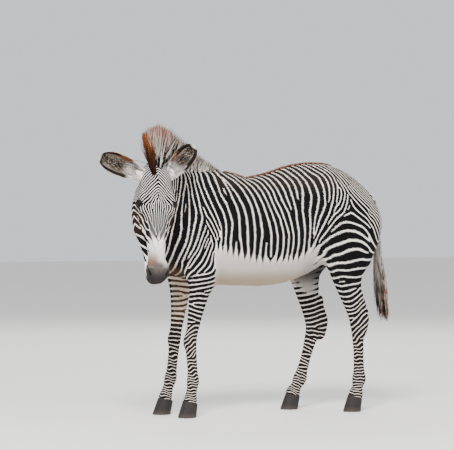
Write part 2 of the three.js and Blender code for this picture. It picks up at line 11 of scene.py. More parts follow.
import bpy
import numpy as np
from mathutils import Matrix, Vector


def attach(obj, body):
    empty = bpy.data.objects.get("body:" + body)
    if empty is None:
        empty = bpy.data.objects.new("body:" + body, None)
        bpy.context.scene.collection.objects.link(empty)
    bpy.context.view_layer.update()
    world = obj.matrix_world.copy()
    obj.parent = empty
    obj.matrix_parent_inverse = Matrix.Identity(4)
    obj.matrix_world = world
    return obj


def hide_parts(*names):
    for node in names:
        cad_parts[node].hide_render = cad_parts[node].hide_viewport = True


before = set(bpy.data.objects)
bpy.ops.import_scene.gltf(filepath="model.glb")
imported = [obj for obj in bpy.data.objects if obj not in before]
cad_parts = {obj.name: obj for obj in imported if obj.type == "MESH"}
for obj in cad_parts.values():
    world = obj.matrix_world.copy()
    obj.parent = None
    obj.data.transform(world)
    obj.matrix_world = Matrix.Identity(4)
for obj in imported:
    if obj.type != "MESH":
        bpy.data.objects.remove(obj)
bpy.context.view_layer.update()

MM = 0.001
RANDOM = np.random.default_rng(7)

# %% [markdown]
# ## Coordinates
#
# The body is described in millimetres from a point under its withers line: -X is forward, -Y is the zebra's
# left and +Z is up. The frame's own origin is the middle of the underside of the whole box, so one constant
# takes one to the other. Everything below is worked out in body millimetres and turned to metres at the end.

# %% Body millimetres to frame metres
ORIGIN = np.array([-222.272, -134.045, 0.0])  # the frame's origin, in body millimetres


def to_frame(points):
    return (np.asarray(points, float) - ORIGIN) * MM


def to_body(points):
    return np.asarray(points, float) / MM + ORIGIN


def unit(v):
    v = np.asarray(v, float)
    return v / np.maximum(np.linalg.norm(v, axis=-1, keepdims=True), 1e-9)


def smooth_step(low, high, value):
    t = np.clip((value - low) / (high - low), 0, 1)
    return t * t * (3 - 2 * t)


# %% [markdown]
# ## Camera
#
# A long lens from 13.5 m away keeps the body almost free of perspective, and the zebra is seen 24 degrees
# round from its left side, a little below its eye. The camera is turned, not shifted, to put it off centre.

# %% Camera
PICTURE = (454, 450)
FOCAL_PIXELS = 2330
CAMERA_DISTANCE = 13.47
CAMERA_HEIGHT = 1.25
CAMERA_AZIMUTH = math.radians(24)
CENTRE_LINE_PIXEL = (274.6, 196)  # where the body's own origin, at the camera's height, is seen

looking = Vector((math.sin(CAMERA_AZIMUTH), math.cos(CAMERA_AZIMUTH), 0))
rightward = Vector((math.cos(CAMERA_AZIMUTH), -math.sin(CAMERA_AZIMUTH), 0))
across = (PICTURE[0] / 2 - CENTRE_LINE_PIXEL[0]) / FOCAL_PIXELS
down = (PICTURE[1] / 2 - CENTRE_LINE_PIXEL[1]) / FOCAL_PIXELS
aim = looking + rightward * across - Vector((0, 0, down))

bpy.ops.object.camera_add()
camera = bpy.context.object
camera.name = "camera"
camera.location = -looking * CAMERA_DISTANCE - Vector(ORIGIN) * MM + Vector((0, 0, CAMERA_HEIGHT))
camera.rotation_euler = aim.to_track_quat("-Z", "Y").to_euler()
camera.data.sensor_width = 36
camera.data.lens = FOCAL_PIXELS / PICTURE[0] * camera.data.sensor_width
camera.data.clip_end = 100
bpy.context.scene.camera = camera
print("camera lens", round(camera.data.lens, 1), "mm")

# %% [markdown]
# ## The shape of the body
#
# A body is easiest to describe as limbs and muscles that melt into each other. Each is a tube of elliptic
# section along a smooth curve. A station of a tube is a point, its half width and its half heights above and
# below the line. The distance to the nearest tube, with neighbours melted together, is a field whose zero is
# the outer surface of the coat. It is the same body that the frame's faceted solids were meshed from.

# %% Tubes
STEPS = 3  # straight pieces between two stations
FAR = 900.0


def blend4(a, b, c, d, t):
    return 0.5 * (2 * b + (c - a) * t + (2 * a - 5 * b + 4 * c - d) * t**2 + (3 * b - a - 3 * c + d) * t**3)


def smooth_line(stations, steps=STEPS):
    s = np.array(stations, float)
    ends = np.vstack([s[:1], s, s[-1:], s[-1:]])
    rows = [
        blend4(ends[i], ends[i + 1], ends[i + 2], ends[i + 3], j / steps)
        for i in range(len(s) - 1)
        for j in range(steps)
    ]
    return np.array(rows + [s[-1]])


def tube(stations, up, melted=40):
    points = smooth_line(stations)
    pieces = []
    for a, b in zip(points[:-1], points[1:]):
        line = b[:3] - a[:3]
        along = unit(line)
        side = unit(np.cross(up, along))
        pieces.append((a, b, line, np.stack([side, np.cross(along, side), along]), line @ line))
    return pieces, melted


def piece_distance(piece, q):
    a, b, line, axes, span = piece
    start = q - a[:3]
    t = np.clip(start @ line / span, 0, 1)
    r = (start - t[:, None] * line) @ axes.T
    width = a[3] + (b[3] - a[3]) * t
    above = a[4] + (b[4] - a[4]) * t
    below = a[5] + (b[5] - a[5]) * t
    height = np.where(r[:, 1] > 0, above, below)
    size = np.stack([width, height, (width + height) / 2], axis=1)
    local = r / size
    k = np.linalg.norm(local, axis=1) + 1e-9
    slope = np.linalg.norm(local / size, axis=1) / k + 1e-9
    return np.maximum((k - 1) / slope, -np.minimum(width, height))


def tube_distance(made, q, reach=130):
    nearest = np.full(len(q), FAR)
    for piece in made[0]:
        a, b = piece[:2]
        low = np.minimum(a[:3], b[:3]) - max(a[3:].max(), b[3:].max()) - reach
        high = np.maximum(a[:3], b[:3]) + max(a[3:].max(), b[3:].max()) + reach
        near = np.flatnonzero(np.all((q > low) & (q < high), axis=1))
        if len(near):
            nearest[near] = np.minimum(nearest[near], piece_distance(piece, q[near]))
    return nearest


def melt(a, b, k):
    h = np.maximum(k - np.abs(a - b), 0) / k
    return np.minimum(a, b) - h * h * k / 4


def melt_all(tubes, q):
    d = np.full(len(q), FAR)
    for made in tubes:
        d = melt(d, tube_distance(made, q), made[1])
    return d


UP = np.array([0.0, 0, 1])
FORWARD = np.array([-1.0, 0, 0])


def both_sides(stations):
    flipped = [[x, -y, *rest] for x, y, *rest in stations]
    return stations, flipped


# %% [markdown]
# ### Trunk, neck and muscles
#
# The barrel is deep behind the elbows and drawn up towards the groin, with a dip behind the withers and a
# high round croup. The neck leaves it level and bends to the zebra's left as it rises.

# %% Trunk, neck and muscles
BARREL = [
    [-655, 0, 985, 95, 95, 125],
    [-610, 0, 1020, 150, 170, 225],
    [-530, 0, 1060, 180, 275, 300],
    [-430, 0, 1070, 196, 318, 325],
    [-320, 0, 1060, 222, 322, 325],
    [-200, 0, 1050, 244, 308, 320],
    [-60, 0, 1045, 262, 330, 316],
    [70, 0, 1060, 266, 346, 294],
    [180, 0, 1095, 256, 345, 262],
    [290, 0, 1140, 234, 306, 226],
    [390, 0, 1145, 212, 240, 222],
    [480, 0, 1126, 176, 186, 205],
    [528, 0, 1103, 138, 138, 160],
    [556, 0, 1082, 90, 90, 104],
]
NECK = [
    [-400, 0, 1105, 150, 275, 270],
    [-515, -36, 1145, 124, 238, 262],
    [-615, -95, 1195, 100, 213, 225],
    [-705, -162, 1240, 86, 190, 188],
    [-785, -228, 1284, 78, 162, 162],
    [-846, -288, 1322, 68, 120, 138],
]
SHOULDER_BLADE = [
    [-420, -90, 1270, 60, 90, 90],
    [-520, -130, 1130, 72, 100, 100],
    [-610, -140, 985, 66, 82, 82],
]
UPPER_ARM = [
    [-600, -140, 965, 58, 70, 80],
    [-508, -150, 850, 72, 95, 100],
    [-486, -142, 775, 56, 76, 66],
]
CROUP = [
    [250, -120, 1250, 90, 112, 120],
    [392, -120, 1150, 102, 122, 140],
    [492, -106, 1080, 90, 98, 110],
]
BUTTOCK = [
    [555, -88, 1102, 56, 64, 64],
    [545, -108, 995, 60, 76, 60],
    [490, -130, 890, 60, 84, 64],
]
FLANK = [
    [262, -150, 1120, 60, 90, 90],
    [240, -148, 990, 56, 56, 84],
    [300, -148, 928, 46, 46, 64],
]
body_tubes = [tube(BARREL, UP), tube(NECK, UP, 60)]
for muscle, up, melted in (
    (SHOULDER_BLADE, FORWARD, 70),
    (UPPER_ARM, FORWARD, 70),
    (CROUP, UP, 90),
    (BUTTOCK, FORWARD, 70),
    (FLANK, FORWARD, 80),
):
    body_tubes += [tube(side, up, melted) for side in both_sides(muscle)]

# %% [markdown]
# ### Legs
#
# A leg is a chain of joints seen from the side, as [x, z]. The sizes between them are those of a lean,
# long-legged young zebra: broad at the forearm and gaskin, flat at the cannons, rounded at the fetlocks.

# %% Legs
FORE_SIZES = [
    [60, 90, 80],
    [54, 75, 60],
    [42, 54, 50],
    [34, 40, 38],
    [37, 43, 38],
    [31, 33, 35],
    [25, 29, 34],
    [26, 30, 35],
    [32, 37, 40],
    [28, 31, 33],
    [38, 42, 40],
]
HIND_SIZES = [
    [90, 155, 150],
    [86, 132, 150],
    [72, 80, 158],
    [52, 66, 97],
    [36, 48, 52],
    [40, 53, 58],
    [33, 42, 40],
    [26, 32, 34],
    [27, 33, 36],
    [36, 42, 45],
    [30, 33, 35],
    [41, 46, 44],
]


def between(a, b, t):
    return [a[0] + (b[0] - a[0]) * t, a[1] + (b[1] - a[1]) * t]


def foreleg(side_y, elbow, knee, fetlock, coronet):
    places = [[elbow[0] - 10, elbow[1] + 60]]
    places += [between(elbow, knee, t) for t in (0.12, 0.45, 0.82, 1)]
    places += [between(knee, fetlock, t) for t in (0.22, 0.55, 0.82, 1)]
    places += [between(fetlock, coronet, 0.5), coronet]
    out = [1.12, 1.1, 1.02] + [1] * 8
    return tube([[x, side_y * o, z, *s] for (x, z), o, s in zip(places, out, FORE_SIZES)], FORWARD, 46)


def hind_leg(side_y, hip, stifle, hock, fetlock, coronet):
    places = [hip, between(hip, stifle, 0.5), stifle]
    places += [between(stifle, hock, t) for t in (0.4, 0.8, 1)]
    places += [between(hock, fetlock, t) for t in (0.2, 0.5, 0.82, 1)]
    places += [between(fetlock, coronet, 0.5), coronet]
    out = [0.95, 1.06, 1.1, 1.04] + [1] * 8
    return tube([[x, side_y * o, z, *s] for (x, z), o, s in zip(places, out, HIND_SIZES)], FORWARD, 60)


def hock_point(x, y, z, lean):
    """The heel bone of the hock and the tendon that runs up from it."""
    stations = [
        [x + 40 - lean * 0.6, y, z + 175, 18, 22, 22],
        [x + 36, y, z + 110, 18, 22, 22],
        [x + 50, y, z + 40, 22, 26, 26],
        [x + 24, y, z - 40, 24, 30, 30],
    ]
    return tube(stations, FORWARD, 34)


FORE_LEFT = (-122, [-508, 765], [-574, 428], [-560, 205], [-574, 98])
FORE_RIGHT = (122, [-522, 765], [-572, 432], [-600, 207], [-630, 98])
HIND_LEFT = (-138, [422, 1050], [348, 850], [468, 510], [474, 190], [455, 98])
HIND_RIGHT = (138, [400, 1050], [222, 850], [313, 470], [222, 178], [180, 98])
body_tubes += [foreleg(*FORE_LEFT), foreleg(*FORE_RIGHT), hind_leg(*HIND_LEFT), hind_leg(*HIND_RIGHT)]
body_tubes += [hock_point(468, -138, 510, 60), hock_point(334, 138, 470, 20)]

# %% [markdown]
# ### Head
#
# The head has coordinates of its own: down the face from the poll, sideways towards the zebra's left, and out
# from the line of the face. It is built once, on one side, and mirrored by folding the sideways coordinate.

# %% Head
POLL = np.array([-877.0, -400, 1424])
HEAD_YAW = math.radians(81.5)
HEAD_PITCH = math.radians(77)
HEAD_TILT = math.radians(-2.4)
EYE = {"along": 216, "side": 92, "out": -38, "radius": 24}

face_way = np.array([-math.cos(HEAD_YAW), -math.sin(HEAD_YAW), 0])
face_drop = face_way * math.cos(HEAD_PITCH) - UP * math.sin(HEAD_PITCH)
face_level = np.cross(UP, face_way)
along_face = face_drop * math.cos(HEAD_TILT) + face_level * math.sin(HEAD_TILT)
side_of_face = face_level * math.cos(HEAD_TILT) - face_drop * math.sin(HEAD_TILT)
out_of_face = unit(np.cross(along_face, side_of_face))
HEAD_AXES = np.stack([along_face, side_of_face, out_of_face])


def into_head(q):
    return (q - POLL) @ HEAD_AXES.T


def out_of_head(local):
    return POLL + np.asarray(local, float) @ HEAD_AXES


OUTWARD = np.array([0.0, 0, 1])
SKULL = [
    [10, 0, -62, 58, 58, 62],
    [75, 0, -62, 80, 68, 86],
    [150, 0, -66, 96, 74, 98],
    [215, 0, -68, 98, 75, 100],
    [300, 0, -66, 78, 69, 86],
    [400, 0, -60, 57, 58, 70],
    [490, 0, -54, 49, 50, 62],
    [560, 0, -49, 54, 46, 60],
    [603, 0, -48, 56, 42, 50],
    [618, 0, -52, 45, 32, 40],
]
JAW = [
    [125, 0, -165, 68, 62, 78],
    [215, 0, -194, 87, 80, 96],
    [310, 0, -202, 90, 80, 98],
    [400, 0, -184, 67, 66, 68],
    [500, 0, -152, 50, 50, 46],
    [576, 0, -142, 50, 48, 44],
    [606, 0, -134, 43, 40, 38],
]
CHEEK = [
    [140, 58, -150, 42, 78, 78],
    [215, 68, -162, 44, 92, 92],
    [300, 60, -172, 40, 80, 78],
]
BROW = [
    [176, 73, -28, 26, 21, 28],
    [208, 87, -33, 28, 24, 34],
    [248, 80, -38, 24, 22, 30],
]
CHEEKBONE = [
    [230, 80, -74, 22, 20, 22],
    [300, 70, -80, 17, 16, 18],
    [390, 49, -78, 12, 14, 14],
]
NOSTRIL = [
    [556, 38, -26, 16, 20, 24],
    [590, 44, -25, 20, 23, 30],
    [610, 38, -34, 18, 22, 24],
]
EAR_ROOT = [
    [44, 58, -68, 36, 32, 34],
    [32, 84, -72, 32, 28, 30],
]
head_tubes = [tube(SKULL, OUTWARD, 30), tube(JAW, OUTWARD, 26), tube(CHEEK, OUTWARD, 36)]
head_tubes += [tube(BROW, OUTWARD, 26), tube(CHEEKBONE, OUTWARD, 26), tube(NOSTRIL, OUTWARD, 24)]
head_tubes += [tube(EAR_ROOT, OUTWARD, 30)]


def head_distance(q):
    local = into_head(q)
    local[:, 1] = np.abs(local[:, 1])
    return melt_all(head_tubes, local)


# %% [markdown]
# ### Tail
#
# The fleshy dock lies against the buttocks and carries the tuft below it.

# %% Tail
TAIL = [
    [548, 0, 1240, 40, 34, 34],
    [612, 0, 1200, 38, 32, 30],
    [645, -1, 1120, 33, 28, 28],
    [658, -4, 1000, 28, 24, 24],
    [668, -6, 880, 27, 26, 26],
    [686, -8, 760, 34, 34, 34],
    [702, -10, 640, 30, 30, 30],
    [712, -12, 548, 8, 8, 8],
]
DOCK_STATIONS = 5
dock = tube(TAIL[:DOCK_STATIONS], FORWARD, 22)


def body_distance(q):
    d = melt_all(body_tubes, q)
    d = melt(d, tube_distance(dock, q), dock[1])
    near_head = np.flatnonzero((q[:, 0] < -560) & (q[:, 1] < -60))
    if len(near_head):
        d[near_head] = melt(d[near_head], head_distance(q[near_head]), 44)
    return d


def slope_of(distance, q, h=0.6):
    here = distance(q)
    grad = np.stack([(distance(q + h * axis) - here) / h for axis in np.eye(3)], axis=1)
    return here, grad


def settle(q, depth, rounds=3):
    """Moves points along the field's slope until they lie that deep under its surface."""
    q = q.copy()
    for _ in range(rounds):
        here, grad = slope_of(body_distance, q)
        steep = np.maximum((grad**2).sum(1), 0.25)
        step = (here + depth) / steep
        q -= np.clip(step, -25, 25)[:, None] * grad
    return q


# %% [markdown]
# ## The skin
#
# The flesh of the frame is cut into solids, and one skin stands for them all. Their meshes are copied, merged
# and joined, and a voxel remesh melts the copies into one closed mesh of even squares, which is the quickest
# way to close the thin gaps between solids. The head and the lower legs carry finer detail, so their faces
# are subdivided once more. The mesh is then settled onto the body's field, 6 mm under the coat's outside.

# %% One mesh from the solids of flesh
FLESH = ["trunk", "neck", "head", "tail"]
FLESH += [name + side for name in ("thigh", "cannon_hind", "forearm", "cannon_fore") for side in ("_left", "_right")]
VOXEL = 0.010
COAT_DEPTH = 6.0  # mm from the skin to the outside of the coat
FACE_COAT_DEPTH = 2.5  # mm, on the face and the feet


def select_only(*objects):
    bpy.ops.object.select_all(action="DESELECT")
    for obj in objects:
        obj.select_set(True)
    bpy.context.view_layer.objects.active = objects[0]


def copy_of(node):
    source = bpy.data.objects[node]
    made = source.copy()
    made.data = source.data.copy()
    bpy.context.collection.objects.link(made)
    select_only(made)
    bpy.ops.object.mode_set(mode="EDIT")
    bpy.ops.mesh.select_all(action="SELECT")
    bpy.ops.mesh.remove_doubles(threshold=0.00005)
    bpy.ops.object.mode_set(mode="OBJECT")
    return made


def apply(obj, kind, **settings):
    select_only(obj)
    modifier = obj.modifiers.new(kind.lower(), kind)
    for key, value in settings.items():
        setattr(modifier, key, value)
    bpy.ops.object.modifier_apply(modifier=modifier.name)


def points_of(mesh):
    flat = np.empty(len(mesh.vertices) * 3)
    mesh.vertices.foreach_get("co", flat)
    return flat.reshape(-1, 3)


def move_points(mesh, points):
    mesh.vertices.foreach_set("co", np.asarray(points).ravel())
    mesh.update()


copies = [copy_of(node) for node in FLESH]
select_only(*copies)
bpy.ops.object.join()
skin = bpy.context.object
skin.name = "skin"
skin.data.name = "skin"
skin.data.materials.clear()
apply(skin, "REMESH", mode="VOXEL", voxel_size=VOXEL)
print("skin after the remesh:", len(skin.data.polygons), "faces")

# %% Finer faces on the head, the rump and the lower legs
LEG_FINE_BELOW = 700.0  # mm from the floor


def in_head(body_points, grow=0.0):
    """True for the points of the head, from behind the ears to the lips."""
    s, w, d = into_head(body_points).T
    return (s > -40 - grow) & (s < 660) & (np.abs(w) < 150 + grow) & (d > -300 - grow) & (d < 90)


def subdivide_where(obj, wanted):
    """Subdivides, once, the faces whose centre the test picks."""
    mesh = obj.data
    centres = np.empty(len(mesh.polygons) * 3)
    mesh.polygons.foreach_get("center", centres)
    picked = wanted(to_body(centres.reshape(-1, 3)))
    select_only(obj)
    bpy.ops.object.mode_set(mode="EDIT")
    bpy.ops.mesh.select_mode(type="FACE")
    bpy.ops.mesh.select_all(action="DESELECT")
    bpy.ops.object.mode_set(mode="OBJECT")
    mesh.polygons.foreach_set("select", picked)
    bpy.ops.object.mode_set(mode="EDIT")
    bpy.ops.mesh.subdivide(number_cuts=1)
    bpy.ops.object.mode_set(mode="OBJECT")


def fine_region(q):
    rump = (q[:, 0] > 360) & (q[:, 2] > 940)  # its stripes are the narrowest of the trunk
    return in_head(q) | rump | (q[:, 2] < LEG_FINE_BELOW) & (q[:, 0] < 640)


def face_detail(q):
    s, w, d = into_head(q).T
    eyes = np.hypot(s - EYE["along"], np.abs(w) - EYE["side"]) < 62
    muzzle = s > 545
    return in_head(q) & (eyes & (d > -110) | muzzle)


subdivide_where(skin, fine_region)
apply(skin, "SMOOTH", factor=0.5, iterations=4)
rough_points = to_body(points_of(skin.data))
bony = np.maximum(in_head(rough_points), 1 - smooth_step(300, 600, rough_points[:, 2]))
depth = COAT_DEPTH + (FACE_COAT_DEPTH - COAT_DEPTH) * bony
body_points = settle(rough_points, depth)
move_points(skin.data, to_frame(body_points))
subdivide_where(skin, face_detail)
apply(skin, "TRIANGULATE", quad_method="SHORTEST_DIAGONAL")
print("skin:", len(skin.data.polygons), "triangles")


# %% [markdown]
# ## The line of the stripes
#
# A zebra's stripes are one wave that runs over the skin: black and white take turns at a spacing that changes
# from place to place, they bend round the shoulder and the haunch, and they fork where the spacing doesn't fit.
# Painting them by hand would need an image, so light lines are drawn instead as a few guide lines on the body,
# each with the spacing of the stripes beside it. Two guide lines meet in a delta on the shoulder and on the rump.

# %% Guide lines of the body: spacing in mm, then points down each light line
LIGHT_LINES = [
    [34, (-710, -255, 1160), (-715, -230, 1080), (-720, -205, 1050)],
    [
        40, (-625, -195, 1330), (-650, -230, 1270), (-665, -235, 1205), (-665, -230, 1140),
        (-660, -215, 1070), (-675, -205, 1005), (-690, -190, 970),
    ],
    [
        40, (-615, -190, 1320), (-610, -205, 1210), (-615, -215, 1090), (-625, -220, 1025),
        (-645, -215, 965), (-660, -170, 905), (-655, -105, 865),
    ],
    [
        36, (-590, -155, 1360), (-580, -195, 1230), (-570, -210, 1170), (-575, -215, 1120),
        (-610, -225, 990), (-630, -215, 940), (-640, -150, 870),
    ],
    [
        36, (-550, -70, 1395), (-555, -150, 1325), (-550, -185, 1250), (-545, -205, 1180),
        (-535, -215, 1125), (-565, -220, 1015), (-595, -220, 950), (-620, -205, 900),
    ],
    [28, (-515, -215, 1075), (-570, -220, 945), (-605, -205, 890), (-620, -165, 840)],
    [26, (-495, -210, 1040), (-520, -210, 1000), (-550, -220, 940), (-580, -215, 890), (-610, -180, 840)],
    [24, (-480, -200, 990), (-535, -220, 895), (-575, -210, 845)],
    [20, (-505, -215, 1095), (-450, -200, 1015), (-440, -200, 975)],
    [22, (-525, -205, 1185), (-510, -215, 1140), (-475, -215, 1095), (-445, -205, 1045), (-435, -200, 1000)],
    [
        26, (-535, -120, 1350), (-525, -165, 1285), (-515, -190, 1230), (-490, -205, 1170),
        (-435, -210, 1070), (-425, -205, 1015),
    ],
    [
        28, (-500, -105, 1365), (-500, -155, 1300), (-485, -190, 1240), (-465, -205, 1185),
        (-435, -210, 1125), (-420, -210, 1070), (-415, -205, 1000),
    ],
    [
        34, (-455, -55, 1390), (-465, -145, 1330), (-450, -175, 1275), (-435, -190, 1225),
        (-405, -205, 1165), (-395, -210, 1120), (-390, -215, 1060), (-395, -210, 1000), (-390, -200, 950),
    ],
    [
        38, (-420, -40, 1390), (-425, -145, 1330), (-405, -180, 1260), (-380, -195, 1205),
        (-355, -220, 1100), (-365, -215, 990), (-360, -205, 940),
    ],
    [40, (-390, -85, 1375), (-360, -150, 1310), (-325, -205, 1195), (-315, -220, 1145), (-315, -230, 1035)],
    [
        42, (-370, -100, 1365), (-335, -145, 1310), (-305, -175, 1255), (-285, -210, 1195),
        (-275, -225, 1145), (-270, -235, 1085), (-265, -230, 975), (-255, -220, 920),
    ],
    [
        42, (-305, -100, 1345), (-270, -145, 1300), (-250, -185, 1245), (-235, -215, 1190),
        (-230, -235, 1130), (-225, -240, 1020), (-225, -235, 960), (-225, -220, 910),
    ],
    [
        40, (-270, -100, 1345), (-235, -135, 1305), (-215, -180, 1255), (-205, -215, 1200),
        (-195, -235, 1145), (-185, -250, 1050), (-190, -235, 945), (-190, -220, 900),
    ],
    [
        38, (-225, -90, 1340), (-200, -130, 1315), (-180, -185, 1255), (-165, -220, 1200),
        (-140, -255, 1085), (-130, -255, 1030), (-130, -250, 975), (-125, -235, 915),
    ],
    [
        38, (-120, -180, 1280), (-110, -220, 1220), (-95, -240, 1165), (-75, -255, 1120), (-55, -260, 1020),
        (-55, -245, 930), (-60, -230, 885),
    ],
    [
        34, (-100, -145, 1315), (-90, -180, 1285), (-85, -215, 1230), (-65, -240, 1175), (-50, -260, 1115),
        (-30, -265, 1055), (-25, -265, 1020), (-25, -260, 980), (-25, -230, 890),
    ],
    [
        34, (-75, -130, 1335), (-65, -170, 1305), (-55, -205, 1255), (-45, -230, 1210), (-25, -250, 1165),
        (-15, -260, 1115), (5, -265, 1020), (5, -260, 975), (0, -230, 890),
    ],
    [
        36, (-15, -100, 1370), (0, -140, 1345), (10, -175, 1315), (20, -235, 1210), (25, -250, 1165),
        (25, -260, 1115), (35, -265, 1055), (40, -260, 975), (35, -235, 905),
    ],
    [
        38, (55, -125, 1375), (75, -155, 1355), (85, -190, 1315), (85, -210, 1275), (70, -240, 1210),
        (65, -250, 1170), (70, -265, 1115), (75, -265, 1055), (75, -255, 975), (75, -240, 920),
    ],
    [
        38, (100, -140, 1370), (115, -175, 1345), (125, -210, 1300), (130, -225, 1260), (125, -240, 1220),
        (110, -255, 1165), (110, -265, 1055), (105, -255, 975),
    ],
    [
        36, (130, -140, 1380), (145, -170, 1360), (160, -205, 1325), (170, -230, 1275), (175, -240, 1240),
        (135, -265, 1085), (130, -260, 1030),
    ],
    [
        34, (175, -155, 1385), (195, -185, 1360), (205, -220, 1315), (210, -235, 1275), (210, -250, 1200),
        (170, -260, 1115), (145, -260, 1035),
    ],
    [
        28, (270, -190, 1370), (270, -205, 1350), (275, -225, 1305), (270, -240, 1270), (260, -250, 1225),
        (230, -255, 1145), (205, -260, 1100), (155, -255, 1000),
    ],
    [24, (330, -205, 1335), (345, -220, 1300), (350, -235, 1270), (315, -250, 1185), (280, -255, 1155)],
    [
        28, (365, -235, 1260), (350, -250, 1205), (325, -250, 1150), (290, -255, 1130), (265, -255, 1105),
        (210, -255, 1035), (180, -250, 985),
    ],
    [
        27, (330, -170, 1375), (350, -200, 1340), (365, -220, 1305), (375, -230, 1275), (400, -235, 1245),
        (430, -240, 1210), (470, -235, 1175), (540, -215, 1110), (565, -210, 1070),
    ],
    [
        27, (385, -245, 1215), (400, -245, 1185), (430, -245, 1160), (500, -230, 1115), (530, -220, 1080),
        (550, -215, 1045),
    ],
    [19, (400, -200, 1320), (425, -215, 1285), (470, -220, 1240), (525, -205, 1200), (570, -185, 1155)],
    [33, (330, -250, 1135), (380, -250, 1155), (445, -245, 1115), (515, -225, 1070)],
    [
        46, (265, -250, 1055), (290, -250, 1080), (320, -250, 1095), (355, -250, 1100), (385, -245, 1095),
        (460, -240, 1070), (510, -225, 1025), (530, -215, 990),
    ],
    [
        50, (180, -245, 955), (195, -245, 960), (215, -250, 985), (245, -250, 1010), (325, -245, 1045),
        (365, -240, 1050), (410, -240, 1045), (455, -235, 1025), (515, -220, 990),
    ],
    [
        52, (225, -225, 895), (230, -235, 935), (280, -235, 965), (370, -235, 995), (415, -235, 995),
        (455, -230, 985), (495, -220, 965),
    ],
    [
        50, (260, -225, 885), (270, -230, 905), (320, -230, 915), (370, -235, 940), (420, -235, 945),
        (470, -225, 935),
    ],
    [46, (260, -220, 840), (290, -225, 860), (355, -230, 865), (405, -230, 875), (460, -215, 885)],
    [40, (275, -205, 805), (300, -215, 820), (365, -220, 820), (425, -210, 830), (475, -190, 835)],
    [36, (300, -195, 770), (335, -210, 785), (395, -205, 780), (460, -170, 785)],
    [34, (330, -185, 725), (380, -200, 735), (440, -185, 745)],
    [30, (360, -170, 665), (395, -185, 670), (440, -180, 695)],
    [28, (380, -160, 610), (410, -175, 610), (450, -170, 635)],
    [26, (405, -160, 565), (440, -170, 575), (480, -160, 605)],
    [26, (420, -160, 490), (450, -175, 515), (485, -165, 555)],
    [24, (435, -160, 435), (465, -175, 475), (495, -175, 495)],
    [27, (-570, -190, 775), (-540, -210, 780), (-505, -215, 785)],
    [27, (-580, -165, 720), (-550, -190, 730), (-505, -200, 735)],
    [26, (-580, -150, 670), (-550, -175, 675), (-505, -175, 670)],
    [22, (-585, -145, 615), (-545, -165, 600)],
    [19, (-605, -130, 480), (-575, -155, 515)],
    [19, (-615, -125, 400), (-600, -150, 425), (-570, -160, 450)],
    [18, (-595, -135, 335), (-565, -150, 375)],
]

# %% Guide lines of one half of the face, in head millimetres
FACE_LINES = [
    [13, (97, -41, -1), (147, -83, -23), (166, -98, -35), (181, -105, -36)],
    [13, (122, -5, 8), (141, -27, 5), (197, -84, -7)],
    [13, (138, -4, 8), (154, -24, 5), (193, -56, -2), (209, -77, -7)],
    [
        13, (152, -3, 8), (163, -17, 7), (181, -32, 3), (200, -42, 0), (227, -69, -9), (239, -72, -11),
        (287, -51, -14),
    ],
    [12, (166, -3, 8), (182, -18, 6), (221, -40, 0), (240, -43, -3), (292, -34, -4)],
    [11, (181, -4, 8), (194, -15, 7), (240, -26, 3), (295, -21, 0)],
    [10, (206, -9, 7), (240, -13, 5), (297, -9, 2)],
    [13, (35, -42, -11), (62, -72, -28), (95, -84, -50), (131, -92, -76), (157, -88, -133)],
    [
        28, (356, -58, -42), (325, -71, -54), (294, -82, -58), (265, -97, -63), (226, -91, -142),
        (237, -88, -204),
    ],
    [34, (374, -62, -56), (335, -77, -69), (294, -80, -112), (258, -87, -149), (277, -86, -204)],
    [46, (401, -54, -50), (366, -68, -68), (329, -71, -124), (299, -82, -159), (316, -82, -200)],
    [50, (435, -50, -61), (397, -42, -136), (370, -61, -159), (353, -72, -182)],
    [44, (453, -33, -119), (436, -47, -143), (417, -57, -177)],
    [38, (506, -35, -117), (480, -46, -142), (458, -51, -167)],
]

# %% [markdown]
# ### Rings round the legs
#
# Below the elbow and the stifle the stripes are rings that get closer towards the hoof, so there the wave
# simply runs along the leg.

# %% A set of guide lines
RING_PERIODS = ([100, 13], [200, 17], [330, 21], [480, 25], [620, 28], [760, 34], [900, 40])  # height, spacing


def ring_period(z):
    heights, spacings = zip(*RING_PERIODS)
    return np.interp(z, heights, spacings)


class Guides:
    """Short pieces of guide line: a point, a direction, a spacing and what kind of line it is from."""

    def __init__(self):
        self.rows = []  # x, y, z, direction, spacing, is a ring axis, is a light line

    def add(self, points, spacing, ring=False, light=False, step=14.0):
        points = np.array(points, float)
        for a, b in zip(points[:-1], points[1:]):
            count = max(int(np.linalg.norm(b - a) / step), 1)
            for t in (np.arange(count) + 0.5) / count:
                here = a + (b - a) * t
                wide = spacing or ring_period(here[2])
                self.rows.append([*here, *unit(b - a), wide, ring, light])

    def table(self):
        """The rows as an array, each with the skin's normal beside it, or nothing beside a ring axis."""
        rows = np.array(self.rows, float)
        normals = unit(slope_of(body_distance, rows[:, :3])[1]) * (rows[:, 7:8] == 0)
        return np.hstack([rows[:, :6], normals, rows[:, 6:]])


guides = Guides()
SHARED_BEHIND = -560.0  # mm; ahead of this the neck bends, so its right side has no mirror image
for spacing, *line in LIGHT_LINES:
    guides.add(line, spacing, light=True)
    if min(x for x, y, z in line) > SHARED_BEHIND:
        guides.add([(x, -y, z) for x, y, z in line], spacing, light=True)
for spacing, *line in FACE_LINES:
    for side in (1, -1):
        guides.add(out_of_head([(s, w * side, d) for s, w, d in line]), spacing, light=True, step=6)

